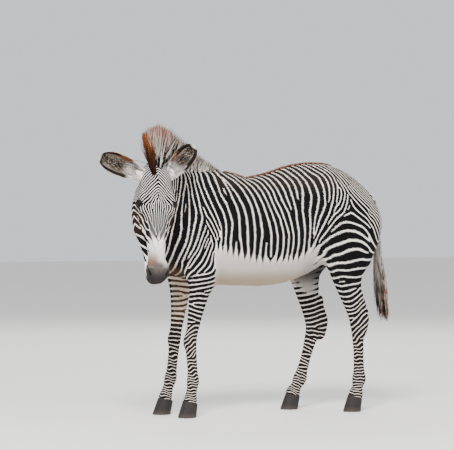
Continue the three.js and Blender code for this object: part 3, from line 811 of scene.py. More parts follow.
# %% Rings of the neck and the legs
guides.add([station[:3] for station in NECK[1:]], 38, ring=True)
guides.add([(570, 0, 1240), (645, 0, 1120), (668, 0, 880)], 30, ring=True)
for y, elbow, knee, fetlock, coronet in (FORE_LEFT, FORE_RIGHT):
    guides.add([(x, y, z) for x, z in (elbow, knee, fetlock, coronet)], 0, ring=True)
for y, hip, stifle, hock, fetlock, coronet in (HIND_LEFT, HIND_RIGHT):
    guides.add([(x, y * 0.8, z) for x, z in (stifle, hock, fetlock, coronet)], 0, ring=True)
print("guide points:", len(guides.rows))

# %% [markdown]
# ## The wave of the stripes
#
# At each point of the skin, the guide lines near it are averaged into one direction and one spacing. A line
# has no front or back, so what is averaged is the square of its direction. The wave itself is then found by
# relaxation: each point takes the phase that its neighbours predict for it, with the points on the guide
# lines held, until the whole skin agrees. Where it can't agree, a stripe forks, as it does on the animal.

# %% Topology and normals of the skin
def arrays_of(mesh):
    corners = np.empty(len(mesh.loops), np.int32)
    mesh.loops.foreach_get("vertex_index", corners)
    return points_of(mesh), corners.reshape(-1, 3)


def normals_of(points, triangles):
    a, b, c = (points[triangles[:, i]] for i in range(3))
    face = np.cross(b - a, c - a)
    total = np.zeros_like(points)
    for i in range(3):
        for axis in range(3):
            total[:, axis] += np.bincount(triangles[:, i], face[:, axis], len(points))
    return unit(total)


skin_points, skin_triangles = arrays_of(skin.data)
body_points = to_body(skin_points)
skin_normals = normals_of(body_points, skin_triangles)
pairs = np.vstack([skin_triangles[:, [i, j]] for i, j in ((0, 1), (1, 2), (2, 0))])
pairs = np.unique(np.sort(pairs, axis=1), axis=0)
print("skin points:", len(body_points), "edges:", len(pairs))

# %% Direction and spacing of the stripes at every point
SPREAD = 16.0  # mm, the distance over which a guide line rules alone


def squared_distances(p, q):
    return (p**2).sum(1)[:, None] + (q**2).sum(1)[None] - 2 * p @ q.T


def stripe_field(points, normals, table, chunk=4000):
    place, along, facing = table[:, :3], table[:, 3:6], table[:, 6:9]
    spacing, ring = table[:, 9], table[:, 10] > 0
    squares = np.stack([along[:, i] * along[:, j] for i, j in ((0, 0), (1, 1), (2, 2), (0, 1), (0, 2), (1, 2))], axis=1)
    sums = [squares * ~ring[:, None], squares * ring[:, None], np.log(spacing)[:, None], np.ones((len(table), 1))]
    sums = np.hstack(sums).astype(np.float32)
    place32, facing32 = place.astype(np.float32), facing.astype(np.float32)
    has_side = (np.abs(facing).sum(1) > 0)[None, :]
    out = np.empty((len(points), sums.shape[1]), np.float32)
    for start in range(0, len(points), chunk):
        p = points[start : start + chunk].astype(np.float32)
        n = normals[start : start + chunk].astype(np.float32)
        squared = np.maximum(squared_distances(p, place32), 0)
        alike = np.where(has_side, np.clip(0.3 + n @ facing32.T, 0.02, 1) ** 2, 1)
        out[start : start + chunk] = (alike / (squared + SPREAD**2) ** 2) @ sums
    weight = out[:, 13]
    period = np.exp(out[:, 12] / weight)

    def matrix(six):
        xx, yy, zz, xy, xz, yz = six.T
        return np.stack([np.stack([xx, xy, xz], 1), np.stack([xy, yy, yz], 1), np.stack([xz, yz, zz], 1)], 1)

    first = unit(np.cross(normals, np.where(np.abs(normals[:, 2:]) < 0.8, UP, [1.0, 0, 0])))
    second = np.cross(normals, first)
    lines, rings = (matrix(out[:, i : i + 6] / weight[:, None]) for i in (0, 6))

    def form(m, u, v):
        return np.einsum("ni,nij,nj->n", u, m, v)

    # A line's direction is turned a quarter round the normal to give the wave's; a ring axis is one already.
    xx = form(lines, second, second) + form(rings, first, first)
    yy = form(lines, first, first) + form(rings, second, second)
    xy = -form(lines, first, second) + form(rings, first, second)
    angle = 0.5 * np.arctan2(2 * xy, xx - yy)
    wave = first * np.cos(angle)[:, None] + second * np.sin(angle)[:, None]
    return wave / period[:, None], period


guide_table = guides.table()
wave, period = stripe_field(body_points, skin_normals, guide_table)
print("stripe spacing, mm: narrowest", round(float(period.min())), "widest", round(float(period.max())))


# %% Points held by the light lines
def held_phase(points, normals, wave, period, table, chunk=4000):
    light = table[table[:, 11] > 0]
    phase = np.zeros(len(points))
    hold = np.zeros(len(points))
    place32 = light[:, :3].astype(np.float32)
    for start in range(0, len(points), chunk):
        rows = slice(start, start + chunk)
        p = points[rows].astype(np.float32)
        squared = squared_distances(p, place32)
        facing = normals[rows] @ light[:, 6:9].T
        nearest = np.argmin(squared + 1e6 * (facing < 0.1), axis=1)
        apart = points[rows] - light[nearest, :3]
        along = np.abs((apart * light[nearest, 3:6]).sum(1))
        across = (apart * wave[rows]).sum(1)
        fits = np.abs((wave[rows] * light[nearest, 3:6]).sum(1)) * period[rows] < 0.5
        deep = np.abs((apart * normals[rows]).sum(1)) < 30
        phase[rows] = math.pi + 2 * math.pi * across
        hold[rows] = np.exp(-((across / 0.2) ** 2)) * (along < 9) * fits * deep
    return phase, hold


target, hold = held_phase(body_points, skin_normals, wave, period, guide_table)
print("points held by light lines:", int((hold > 0.3).sum()))


# %% Relaxing the wave
def relax(points, wave, pairs, target, hold, rounds):
    i, j = pairs[:, 0], pairs[:, 1]
    same = np.where((wave[i] * wave[j]).sum(1) < 0, -1.0, 1.0)
    turn = np.pi * ((wave[i] + same[:, None] * wave[j]) * (points[j] - points[i])).sum(1)
    back = np.where(same > 0, -turn, turn)  # the turn from j to i, in the sense of j's own wave
    forward, backward = np.exp(1j * turn), np.exp(1j * back)
    away = np.exp(1j * target)
    value = away * (hold > 0.3)
    count = len(points)
    flip = same < 0

    for _ in range(rounds):
        from_i = np.where(flip, np.conj(value[i] * forward), value[i] * forward)
        from_j = np.where(flip, np.conj(value[j]) * forward.conj(), value[j] * backward)
        total = np.bincount(j, from_i.real, count) + np.bincount(i, from_j.real, count)
        total = total + 1j * (np.bincount(j, from_i.imag, count) + np.bincount(i, from_j.imag, count))
        total += 12 * hold * away
        size = np.abs(total)
        value = total / np.maximum(size, 1e-6) * (size > 1e-3)
    return value


RELAX_ROUNDS = 420
value = relax(body_points, wave, pairs, target, hold, RELAX_ROUNDS)
print("points the wave has reached:", round(float((np.abs(value) > 0).mean()), 3))


# %% The phase at each corner of each triangle, unrolled from its first corner
def corner_phases(points, wave, value, triangles):
    angle = np.angle(value)
    first = triangles[:, 0]
    phases = [angle[first]]
    for k in (1, 2):
        other = triangles[:, k]
        same = np.where((wave[first] * wave[other]).sum(1) < 0, -1.0, 1.0)
        turn = np.pi * ((wave[first] + same[:, None] * wave[other]) * (points[other] - points[first])).sum(1)
        expected = angle[first] + turn
        off = same * angle[other] - expected
        phases.append(expected + (off + np.pi) % (2 * np.pi) - np.pi)
    return np.stack(phases, axis=1)


stripe_corners = corner_phases(body_points, wave, value, skin_triangles)
print("phase at corners:", stripe_corners.shape)

# %% [markdown]
# ### Uneven rings
#
# The rings on a real leg are not parallel. Two slow waves across the leg push the phase to and fro, fully on the
# lower cannon and the foot and not at all above the hock. The push takes the sign of the wave, because that can
# run up or down a leg.

# %% Uneven rings on the lower legs
WOBBLE = 1.1  # radians of the stripes' wave, for each of the two slow waves
WOBBLE_WAYS = ([0.11, 0.07, 0.05], [-0.05, 0.12, -0.07])  # radians per mm along x, y and z
WOBBLE_HEIGHTS = (300, 560)  # mm: full below the first, none above the second
spots = body_points[skin_triangles]
uneven = np.sin(spots @ WOBBLE_WAYS[0]) + np.sin(spots @ WOBBLE_WAYS[1] + 1)
uneven *= WOBBLE * (1 - smooth_step(*WOBBLE_HEIGHTS, spots[..., 2])) * np.sign(wave[skin_triangles[:, :1], 2])
stripe_corners = stripe_corners + uneven
print("rings moved by up to", round(float(np.abs(uneven).max()), 2), "radians")

# %% [markdown]
# ## The colours of the coat
#
# The stripes' phase says only where light and dark meet. How wide the light part is, and what the two colours
# are, changes over the body: the light part widens to the whole belly, the face fades to grey and white, the
# muzzle is sooty and the back has a brown tinge. Each is painted here once at every point of the skin, from
# its place, as an attribute. Hair that grows there later copies it.
# Painted shade also darkens the underside of the belly, the groin and the top of the inner thigh.

# %% Colour helpers
def linear(code):
    """An sRGB hex colour as linear red, green and blue."""
    parts = [int(code[i : i + 2], 16) / 255 for i in (1, 3, 5)]
    return np.array([c / 12.92 if c <= 0.04045 else ((c + 0.055) / 1.055) ** 2.4 for c in parts])


def paint(colours, mask, code):
    mask = np.clip(mask, 0, 1)[:, None]
    colours[:] = colours * (1 - mask) + linear(code) * mask


def near(points, centre, radius, soft):
    """1 inside the radius of a point, falling to 0 over the soft edge."""
    return 1 - smooth_step(radius, radius + soft, np.linalg.norm(points - np.array(centre, float), axis=1))


x, y, z = body_points.T
ny, nz = skin_normals.T[1:]
s, w, d = into_head(body_points).T
side = np.abs(w)
head_part = in_head(body_points).astype(float) * smooth_step(-30, 20, s)
inward = np.clip(-ny * np.sign(y), 0, 1)  # faces the midline
print("head points:", int(head_part.sum()))

# %% Share of the light stripe
SPACINGS = ([10, 20, 28, 34, 40, 46, 52], [0.25, 0.24, 0.22, 0.21, 0.2, 0.21, 0.25])
BELLY_LINE = (
    [-480, -440, -400, -350, -300, -200, -60, 0, 40, 75, 105, 125, 150, 175, 200, 220],
    [880, 930, 925, 905, 890, 865, 862, 862, 868, 884, 900, 918, 935, 932, 880, 820],
)
share = np.interp(period, *SPACINGS) - 0.02 * (1 - smooth_step(420, 760, z))
belly_line = np.interp(x, *BELLY_LINE)
trunk_part = (x > -455) & (x < 330) & (z > 680)
on_thigh = smooth_step(165, 205, x) * smooth_step(85, 115, np.abs(y)) * (z > 640)
belly = (1 - smooth_step(belly_line - 14, belly_line + 70, z)) * trunk_part * (1 - on_thigh)
belly = np.maximum(belly, smooth_step(0.55, 0.85, -nz) * trunk_part * (z > 720))
inner_thigh = smooth_step(0.25, 0.6, inward) * smooth_step(590, 760, z) * (x > 60)
inner_arm = smooth_step(0.25, 0.6, inward) * smooth_step(480, 620, z) * (x < -400) * (z < 860)
dorsal_zone = (1 - smooth_step(20, 46, np.abs(y))) * (nz > 0.4) * (x > 330)
nose = smooth_step(300, 410, s) * head_part * (d > -120) * (1 - smooth_step(40, 62, side))
under_jaw = smooth_step(-175, -215, d) * head_part * (1 - smooth_step(45, 75, side))
share = share + belly * 0.85 + inner_thigh * 0.36 + inner_arm * 0.3 + dorsal_zone * 0.5
share = share + nose * 0.75 * smooth_step(365, 450, s) + under_jaw * 0.4
ear_base = near(np.stack([s, side, d], 1), (40, 100, -75), 30, 26) * head_part
share = share + ear_base * 0.9
share = share + smooth_step(470, 560, s) * head_part
print("light share: least", round(float(share.min()), 2), "most", round(float(share.max()), 2))

# %% The two colours of the stripes
dark = np.tile(linear("#0b0a0c"), (len(x), 1))
light = np.tile(linear("#f8f1e7"), (len(x), 1))
back = smooth_step(1240, 1340, z) * (x > -420)
lower_leg = 1 - smooth_step(420, 760, z)
face = head_part * smooth_step(-140, -60, d)
cheek = head_part * smooth_step(60, 80, side) * smooth_step(215, 260, s)
paint(dark, back * 0.7, "#2a211d")
paint(light, back * 0.3, "#d8c6b6")
paint(light, lower_leg * 0.6, "#d3c0ab")
paint(dark, lower_leg * 0.3, "#241d1a")
paint(light, belly, "#c0bab4")
# Painted shade: the underside of the belly, which faces the floor, is painted darker and browner.
paint(light, belly * (1 - smooth_step(760, 850, z)), "#a4937f")
paint(light, inner_thigh, "#a9a39f")
# Painted shade: the top of the inner thigh, under the belly, is painted dark grey-brown.
paint(light, inner_thigh * smooth_step(690, 800, z), "#4a4542")
# Painted shade: the downward-facing skin of the groin is painted a darker grey.
groin_shade = smooth_step(60, 150, x) * smooth_step(0.3, 0.7, -nz) * (z > 690) * (1 - smooth_step(840, 900, z))
paint(light, groin_shade * 0.4, "#6f6964")
paint(light, inner_arm * 0.7, "#b59f89")
paint(dark, inner_arm * 0.7, "#4a3628")
paint(light, dorsal_zone, "#cfcbcb")
paint(dark, cheek * 0.8, "#2e1c12")
paint(light, face * 0.6, "#dcd8d4")
grey_nose = smooth_step(255, 300, s) * (1 - smooth_step(380, 430, s)) * face * (1 - smooth_step(30, 55, side))
paint(light, grey_nose, "#9c9894")
paint(dark, grey_nose, "#55504e")
tan_patch = smooth_step(440, 545, s) * (1 - smooth_step(560, 590, s)) * head_part * smooth_step(-90, -40, d)
paint(light, tan_patch * (0.35 + 0.6 * smooth_step(-20, 24, -w)), "#6e4d38")
muzzle = smooth_step(540, 604, s + 0.25 * (d + 60)) * head_part
bridge = smooth_step(525, 570, s) * head_part * (1 - smooth_step(16, 36, side)) * smooth_step(-75, -40, d)
paint(light, muzzle, "#3d3836")
paint(light, bridge * (1 - smooth_step(566, 622, s)), "#544b45")
paint(dark, muzzle, "#232122")
lips = smooth_step(600, 625, s) * head_part
paint(light, lips * 0.6, "#232021")
chest = smooth_step(-520, -600, x) * (1 - smooth_step(820, 900, z)) * (z > 560) * (1 - smooth_step(60, 130, np.abs(y)))
paint(light, chest, "#a58f7a")
paint(dark, chest, "#3a2c22")
tail_part = (x > 600) & (z < 1190)
paint(light, tail_part.astype(float), "#d9d3cd")
paint(dark, tail_part.astype(float), "#8f8781")
around_eye = near(np.stack([s, side, d], 1), (EYE["along"], EYE["side"], EYE["out"]), 26, 6) * head_part
paint(dark, around_eye, "#161214")
paint(light, around_eye, "#1c1817")
blotches = np.sin(body_points @ np.array([0.11, 0.05, 0.13])) * np.sin(body_points @ np.array([0.04, 0.12, -0.1]))
paint(light, ear_base * smooth_step(0.3, 0.55, blotches) * 0.8, "#5a4031")
print("painted", len(dark), "points")


# %% Attributes on the mesh
def store(mesh, name, kind, domain, values):
    attribute = mesh.attributes.new(name, kind, domain)
    field = {"FLOAT": "value", "FLOAT_COLOR": "color"}[kind]
    attribute.data.foreach_set(field, np.ascontiguousarray(values, np.float32).ravel())


def with_alpha(colours):
    return np.hstack([colours, np.ones((len(colours), 1))])


def cut_of(share):
    """The height at which the wave is cut, so that this share of it is light; past 1 it never turns dark."""
    return np.cos(math.pi * np.clip(share, 0, 1)) - 3 * np.maximum(share - 1, 0)


def store_markings(mesh, corner_values, share_values, dark_values, light_values):
    store(mesh, "stripe", "FLOAT", "CORNER", corner_values)
    store(mesh, "cut", "FLOAT", "POINT", cut_of(share_values))
    store(mesh, "dark", "FLOAT_COLOR", "POINT", with_alpha(dark_values))
    store(mesh, "light", "FLOAT_COLOR", "POINT", with_alpha(light_values))


store_markings(skin.data, stripe_corners, share, dark, light)
print("attributes:", [a.name for a in skin.data.attributes if a.name in ("stripe", "cut", "dark", "light")])

# %% [markdown]
# ## The coat's finish
#
# Zebra hair is short, straight and a little glossy. Up close the edge of a stripe is ragged, because black and
# white hairs lie across each other there, so a fine noise is added to the phase before it is cut in two.

# %% Node helper and the coat materials
def node(tree, kind, settings=None, **links):
    """Adds a node: settings are its properties or input values, links are sockets joined to its inputs."""
    made = tree.nodes.new(kind)
    for key, value in (settings or {}).items():
        if isinstance(key, int):
            made.inputs[key].default_value = value
        elif hasattr(made, key):
            setattr(made, key, value)
        else:
            made.inputs[key].default_value = value
    for key, source in links.items():
        numbered = key[0] == "i" and key[1:].isdigit()
        tree.links.new(source, made.inputs[int(key[1:]) if numbered else key.replace("_", " ")])
    return made


def material(name, **values):
    made = bpy.data.materials.new(name)
    made.use_nodes = True
    tree = made.node_tree
    shader = tree.nodes["Principled BSDF"]
    for key, value in values.items():
        shader.inputs[key.replace("_", " ")].default_value = value
    return made, tree, shader


def colour4(code):
    return (*linear(code), 1.0)


def striped(tree, ragged):
    """The coat's colour from its attributes; ragged is how far, in radians, hairs cross a stripe's edge."""
    place = node(tree, "ShaderNodeTexCoord").outputs["Object"]
    attribute = {
        name: node(tree, "ShaderNodeAttribute", {"attribute_name": name})
        for name in ("stripe", "cut", "dark", "light")
    }
    hairs = node(tree, "ShaderNodeTexNoise", {"Scale": 330, "Detail": 2}, Vector=place).outputs["Fac"]
    slow = node(tree, "ShaderNodeTexNoise", {"Scale": 45, "Detail": 1}, Vector=place).outputs["Fac"]
    noise = node(tree, "ShaderNodeMath", {"operation": "ADD"}, i0=hairs, i1=slow).outputs[0]
    noise = node(tree, "ShaderNodeMath", {"operation": "SUBTRACT", 1: 1.0}, i0=noise).outputs[0]
    phase = node(
        tree,
        "ShaderNodeMath",
        {"operation": "MULTIPLY_ADD", 1: ragged},
        i0=noise,
        i2=attribute["stripe"].outputs["Fac"],
    ).outputs[0]
    crest = node(tree, "ShaderNodeMath", {"operation": "COSINE"}, i0=phase).outputs[0]
    over = node(tree, "ShaderNodeMath", {"operation": "ADD"}, i0=crest, i1=attribute["cut"].outputs["Fac"]).outputs[0]
    lit = node(
        tree, "ShaderNodeMapRange", {"interpolation_type": "SMOOTHSTEP", 1: 0.16, 2: -0.16, 3: 0.0, 4: 1.0}, i0=over
    ).outputs[0]
    colour = node(
        tree,
        "ShaderNodeMix",
        {"data_type": "RGBA"},
        i0=lit,
        i6=attribute["dark"].outputs["Color"],
        i7=attribute["light"].outputs["Color"],
    ).outputs[2]
    return place, colour, hairs


# Short coat seen as a surface: the lie of the hair is bump, drawn 2.5 mm wide so that it shows.
skin_finish, tree, shader = material("short_striped_hair", Roughness=0.8, Specular_IOR_Level=0.08)
place, colour, hairs = striped(tree, 0.75)
lie = node(tree, "ShaderNodeMapping", {"Rotation": (0, math.radians(-35), 0), "Scale": (55, 400, 400)}, Vector=place)
strands = node(tree, "ShaderNodeTexNoise", {"Scale": 1.0, "Detail": 3}, Vector=lie.outputs[0]).outputs["Fac"]
tone = node(tree, "ShaderNodeMapRange", {1: 0.25, 2: 0.75, 3: 0.8, 4: 1.12}, i0=strands).outputs[0]
toned = node(tree, "ShaderNodeVectorMath", {"operation": "SCALE"}, i0=colour, Scale=tone).outputs[0]
bump = node(tree, "ShaderNodeBump", {"Strength": 0.5, "Distance": 0.0015}, Height=strands).outputs[0]
tree.links.new(toned, shader.inputs["Base Color"])
tree.links.new(bump, shader.inputs["Normal"])
skin.data.materials.append(skin_finish)
print("materials:", [m.name for m in bpy.data.materials])

# %% [markdown]
# ## Folds, lids and nostrils
#
# The tubes give only round forms. What makes a head a head is smaller: lids that wrap the eyeball, nostrils
# with a raised rim, the line of the mouth, the crest of the cheekbone and the edge of the chewing muscle. The
# body gets its ribs, the edge of the shoulder, the fold of the flank and the grooves between its muscles. Each
# is a line with a width and a height, and the skin is moved along its normals by a bell-shaped profile.

# %% Relief lines: width mm, height mm, then points
BODY_RELIEF = [
    [26, -6, (-395, -150, 1330), (-430, -200, 1150), (-462, -205, 1000)],
    [24, 5, (-430, -130, 1330), (-520, -190, 1100), (-570, -200, 960)],
    [17, -8, (-440, -205, 975), (-462, -200, 880), (-500, -170, 800)],
    [20, -6, (-640, -190, 1080), (-600, -200, 960), (-575, -190, 850)],
    [17, 3, (-290, -200, 1180), (-270, -225, 1040), (-245, -220, 930)],
    [17, 3, (-215, -200, 1180), (-190, -235, 1040), (-165, -230, 920)],
    [17, 3, (-140, -210, 1180), (-110, -245, 1040), (-85, -235, 910)],
    [17, 3, (-60, -215, 1180), (-30, -250, 1040), (-5, -240, 920)],
    [17, 2.5, (20, -215, 1180), (50, -250, 1050), (70, -240, 940)],
    [24, -9, (150, -240, 1130), (185, -240, 1010), (222, -230, 900)],
    [40, 8, (185, -170, 1340), (215, -200, 1310)],
    [20, -6, (520, -190, 1160), (500, -215, 1020), (455, -205, 880)],
    [18, -5, (345, -235, 960), (330, -220, 870), (345, -190, 780)],
    [26, 7, (262, -205, 870), (272, -195, 830)],
    [10, 4, (455, -178, 560), (455, -180, 480)],
    [9, -5, (470, -176, 690), (478, -176, 600), (492, -174, 545)],
    [9, -4, (462, -172, 440), (464, -168, 300), (464, -170, 220)],
    [8, -3.5, (-560, -156, 380), (-552, -152, 300), (-550, -154, 230)],
    [14, 4, (-602, -122, 440), (-604, -122, 410)],
    [12, -5, (-530, -168, 700), (-545, -166, 600), (-556, -160, 500)],
]
FACE_RELIEF = [
    [9, 4, (236, 88, -74), (310, 76, -82), (400, 54, -80)],
    [10, -4.5, (160, 94, -215), (215, 98, -245), (290, 96, -250), (345, 74, -222)],
    [18, -6, (278, 76, -48), (300, 68, -50)],
    [16, -6, (160, 62, -4), (176, 74, -14)],
    [7, 2.5, (262, 44, -2), (370, 36, -6), (480, 28, -6)],
    [9, -3, (330, 58, -30), (430, 47, -38), (520, 47, -36)],
    [4, 2.5, (316, 84, -120), (370, 68, -128), (430, 57, -120), (470, 53, -108)],
    [3.5, -7, (630, 0, -97), (620, 28, -98), (598, 49, -101), (568, 56, -106), (538, 54, -112)],
    [8, 3, (622, 26, -84), (598, 49, -86), (562, 56, -90)],
    [7, 3, (618, 22, -112), (596, 44, -116)],
    [10, -4, (556, 34, -172), (580, 24, -184), (590, 0, -190)],
    [5, -3, (540, 40, -4), (548, 20, 2), (552, 0, 4)],
]
NOSTRIL_LINE = [(572, 60, -30), (584, 61, -18), (600, 56, -12), (613, 45, -16)]


def line_distance(points, line):
    line = np.array(line, float)
    best = np.full(len(points), 1e9)
    for a, b in zip(line[:-1], line[1:]):
        v = b - a
        t = np.clip((points - a) @ v / (v @ v), 0, 1)
        best = np.minimum(best, np.linalg.norm(points - a - t[:, None] * v, axis=1))
    return best


def relief(points, rows):
    height = np.zeros(len(points))
    for width, rise, *line in rows:
        height += rise * np.exp(-((line_distance(points, line) / width) ** 2))
    return height


mirrored = body_points * [1, -1, 1]
folds = relief(body_points, BODY_RELIEF) + relief(mirrored, BODY_RELIEF)
head_points = np.stack([s, side, d], axis=1)
on_head = head_part > 0
folds[on_head] += relief(head_points[on_head], FACE_RELIEF)
nostril_rows = [np.argmin(np.linalg.norm(head_points - p, axis=1) + 1e3 * ~on_head) for p in NOSTRIL_LINE]
nostril = line_distance(head_points, head_points[nostril_rows])  # drawn on the skin itself
folds += on_head * (4 * np.exp(-(((nostril - 14) / 5) ** 2)) - 16 * np.exp(-((nostril / 7.5) ** 2)))
print("folds, mm: deepest", round(float(folds.min()), 1), "highest", round(float(folds.max()), 1))

# %% Wrinkles where the neck bends, and fine unevenness everywhere
bend = near(body_points, (-735, -235, 1150), 60, 120)
wrinkle_axis = unit(np.array([-0.75, -0.55, 0.35]))
folds += bend * 2.2 * np.sin(body_points @ wrinkle_axis * 2 * math.pi / 34)
moved = body_points + folds[:, None] * skin_normals

# %% [markdown]
# ### Eyelids
#
# The lids are part of the skin. Round each eyeball every point is moved along the line from the ball's middle:
# inside the almond of the opening it goes under the ball's surface, and outside it lies a lid's thickness above.
# The upper lid stands a little prouder than the lower, and a crease runs round above it.

# %% Eyelids
LID = 3.2  # mm over the eyeball
ALMOND = (0.92, 0.5)  # half length and half height of the opening, in radians seen from the ball's middle
LOOK = unit(np.array([0.04, 0.88, 0.52]))  # along, side, out: where an eye looks, in head coordinates
eye_middle = np.array([EYE["along"], EYE["side"], EYE["out"]], float)
eye_length = unit(np.array([0.94, 0.02, -0.33]) - LOOK * (LOOK @ np.array([0.94, 0.02, -0.33])))
eye_height = np.cross(LOOK, eye_length) * -1.0
if eye_height[2] < 0:
    eye_height = -eye_height


def eye_angles(local):
    """Angles along and across the lids' opening, and the distance, from the middle of the eyeball."""
    away = local - eye_middle
    reach = np.linalg.norm(away, axis=1)
    u = away / np.maximum(reach, 1e-6)[:, None]
    ahead = u @ LOOK
    turned = np.arccos(np.clip(ahead, -1, 1))
    flat = np.hypot(u @ eye_length, u @ eye_height) + 1e-9
    return turned * (u @ eye_length) / flat, turned * (u @ eye_height) / flat, turned, reach


local = into_head(moved)
sign = np.where(local[:, 1] < 0, -1.0, 1.0)
local[:, 1] = np.abs(local[:, 1])
long, high, turned, reach = eye_angles(local)
opening = 1 - (long / ALMOND[0]) ** 2
rim = np.sqrt(np.maximum(opening, 0)) * np.where(high > 0, ALMOND[1] * 0.95, ALMOND[1] * 0.8)
inside = smooth_step(-0.07, 0.07, (rim - np.abs(high)) * (opening > 0) - 0.2 * (opening <= 0))
brow_crease = np.exp(-(((high - rim - 0.3) / 0.12) ** 2)) * (high > 0) * 2.5
lid_radius = EYE["radius"] + LID + 1.4 * (high > 0) - brow_crease
wanted = lid_radius * (1 - inside) + (EYE["radius"] - 7) * inside
hold_lid = (1 - smooth_step(0.98, 1.4, turned)) * (reach < 70) * on_head
local = eye_middle + (local - eye_middle) / reach[:, None] * (reach + (wanted - reach) * hold_lid)[:, None]
local[:, 1] *= sign
moved = np.where((hold_lid > 0)[:, None], out_of_head(local), moved)
move_points(skin.data, to_frame(moved))
select_only(skin)
bpy.ops.object.shade_smooth()
body_points, skin_normals = moved, normals_of(moved, skin_triangles)
print("points in the lids:", int((hold_lid > 0.1).sum()))

# %% Dark rims of the lids, and painted shade in the nostrils and the line of the mouth
rims = hold_lid * (1 - smooth_step(0.08, 0.3, np.abs(np.abs(high) - rim))) * (1 - inside)
mouth = line_distance(head_points, FACE_RELIEF[7][2:]) * on_head + 99 * ~on_head
hollow_shade = np.maximum(np.exp(-((nostril / 9) ** 2)) * on_head, np.exp(-((mouth / 4) ** 2)))
for name, colours, code in (("dark", dark, "#120f10"), ("light", light, "#1c1817")):
    paint(colours, np.maximum(rims, inside * (hold_lid > 0)), code)
    # Painted shade: near black in the nostrils and along the line of the mouth.
    paint(colours, hollow_shade, "#0b0909")
    skin.data.attributes[name].data.foreach_set("color", with_alpha(colours).ravel())

# %% [markdown]
# ## Eyes
#
# An eyeball is a sphere with a clear bulge, the cornea, over the iris. A zebra's iris is so dark a brown that
# only its gloss tells it from the pupil, which is a long oval lying level. The sphere's points carry how far
# they are turned from the line of sight, and the colours read that.

# %% Eyeballs
def face_outwards(made, merge=None):
    """Turns a closed shell's faces outwards, after joining points nearer to each other than merge, in metres."""
    select_only(made)
    bpy.ops.object.mode_set(mode="EDIT")
    bpy.ops.mesh.select_all(action="SELECT")
    if merge:
        bpy.ops.mesh.remove_doubles(threshold=merge)
    bpy.ops.mesh.normals_make_consistent(inside=False)
    bpy.ops.object.mode_set(mode="OBJECT")


def eyeball(name, sign):
    bpy.ops.object.select_all(action="DESELECT")
    bpy.ops.mesh.primitive_uv_sphere_add(segments=64, ring_count=40, radius=1, enter_editmode=False)
    made = bpy.context.object
    made.name = name.replace("eye", "eyeball")
    p = points_of(made.data)
    turned = np.arccos(np.clip(p[:, 2], -1, 1))
    size = EYE["radius"] - 0.3 + 1.6 * np.exp(-((turned / 0.5) ** 4))
    local = eye_middle + size[:, None] * (p[:, :1] * eye_length + p[:, 1:2] * eye_height + p[:, 2:] * LOOK)
    oval = np.hypot(p[:, 0] / 1.5, p[:, 1]) + (p[:, 2] < 0)
    local[:, 1] *= sign
    move_points(made.data, to_frame(out_of_head(local)))
    store(made.data, "gaze", "FLOAT", "POINT", np.minimum(turned, 1.6))
    store(made.data, "pupil", "FLOAT", "POINT", oval)
    face_outwards(made)
    bpy.ops.object.shade_smooth()
    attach(made, "root")
    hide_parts(name)
    return made


# The wet surface of an eye: a clear coat over a matt iris, which gives one sharp highlight.
eye_finish, tree, shader = material(
    "wet_eye", Roughness=0.25, Specular_IOR_Level=0.1, Coat_Weight=0.3, Coat_Roughness=0.03
)
gaze = node(tree, "ShaderNodeAttribute", {"attribute_name": "gaze"}).outputs["Fac"]
oval = node(tree, "ShaderNodeAttribute", {"attribute_name": "pupil"}).outputs["Fac"]
place = node(tree, "ShaderNodeTexCoord").outputs["Object"]
fibres = node(tree, "ShaderNodeTexNoise", {"Scale": 900, "Detail": 2}, Vector=place).outputs["Fac"]
edge = node(tree, "ShaderNodeMapRange", {1: 0.55, 2: 0.75, 3: 0.0, 4: 1.0}, i0=gaze).outputs[0]
hole = node(tree, "ShaderNodeMapRange", {1: 0.2, 2: 0.24, 3: 0.0, 4: 1.0}, i0=oval).outputs[0]
iris = node(
    tree, "ShaderNodeMix", {"data_type": "RGBA", 6: colour4("#120a06"), 7: colour4("#26160c")}, i0=fibres
).outputs[2]
iris = node(tree, "ShaderNodeMix", {"data_type": "RGBA", 6: colour4("#040303")}, i0=hole, i7=iris).outputs[2]
ball = node(tree, "ShaderNodeMix", {"data_type": "RGBA", 7: colour4("#0d0807")}, i0=edge, i6=iris).outputs[2]
tree.links.new(ball, shader.inputs["Base Color"])
for name, sign in (("eye_left", 1), ("eye_right", -1)):
    eyeball(name, sign).data.materials.append(eye_finish)
print("eyes of", EYE["radius"] * 2, "mm")

# %% [markdown]
# ## Ears
#
# A Grevy's zebra has the largest ears of any zebra: a leaf rolled into a cup, with a thick soft rim. Each is a
# loft of open channels, an outer wall and an inner one, closed along the rim. It uses the coat's own finish,
# painted by place: black rim, pale tip, brown upper edge, furry grey inside and white blotched root.

# %% Ear shells
EAR = {"length": 240, "width": 122, "thick": 8}
EAR_POSES = {
    "ear_left": (1, (-0.75, 0.62, -0.17), (0.1, -0.11, 0.98)),
    "ear_right": (-1, (-0.34, 0.94, -0.02), (0.3, 0.26, 0.92)),
}
EAR_ROWS, EAR_ACROSS = 44, 33


def mesh_piece(name, points, faces, finish, smooth=True):
    """A new object from points in body millimetres."""
    mesh = bpy.data.meshes.new(name)
    mesh.from_pydata(to_frame(points).tolist(), [], [list(map(int, face)) for face in faces])
    mesh.update()
    made = bpy.data.objects.new(name, mesh)
    bpy.context.collection.objects.link(made)
    mesh.materials.append(finish)
    mesh.polygons.foreach_set("use_smooth", [smooth] * len(mesh.polygons))
    return made


def ear_frame(pose):
    sign, axis, mouth = pose
    turn = np.array([1, sign, 1])
    axis, mouth = ((np.array(v) * turn) @ HEAD_AXES for v in (axis, mouth))
    axis = unit(axis)
    open_way = unit(mouth - axis * (mouth @ axis))
    return out_of_head([36, sign * 84, -72]), axis, open_way, np.cross(axis, open_way)


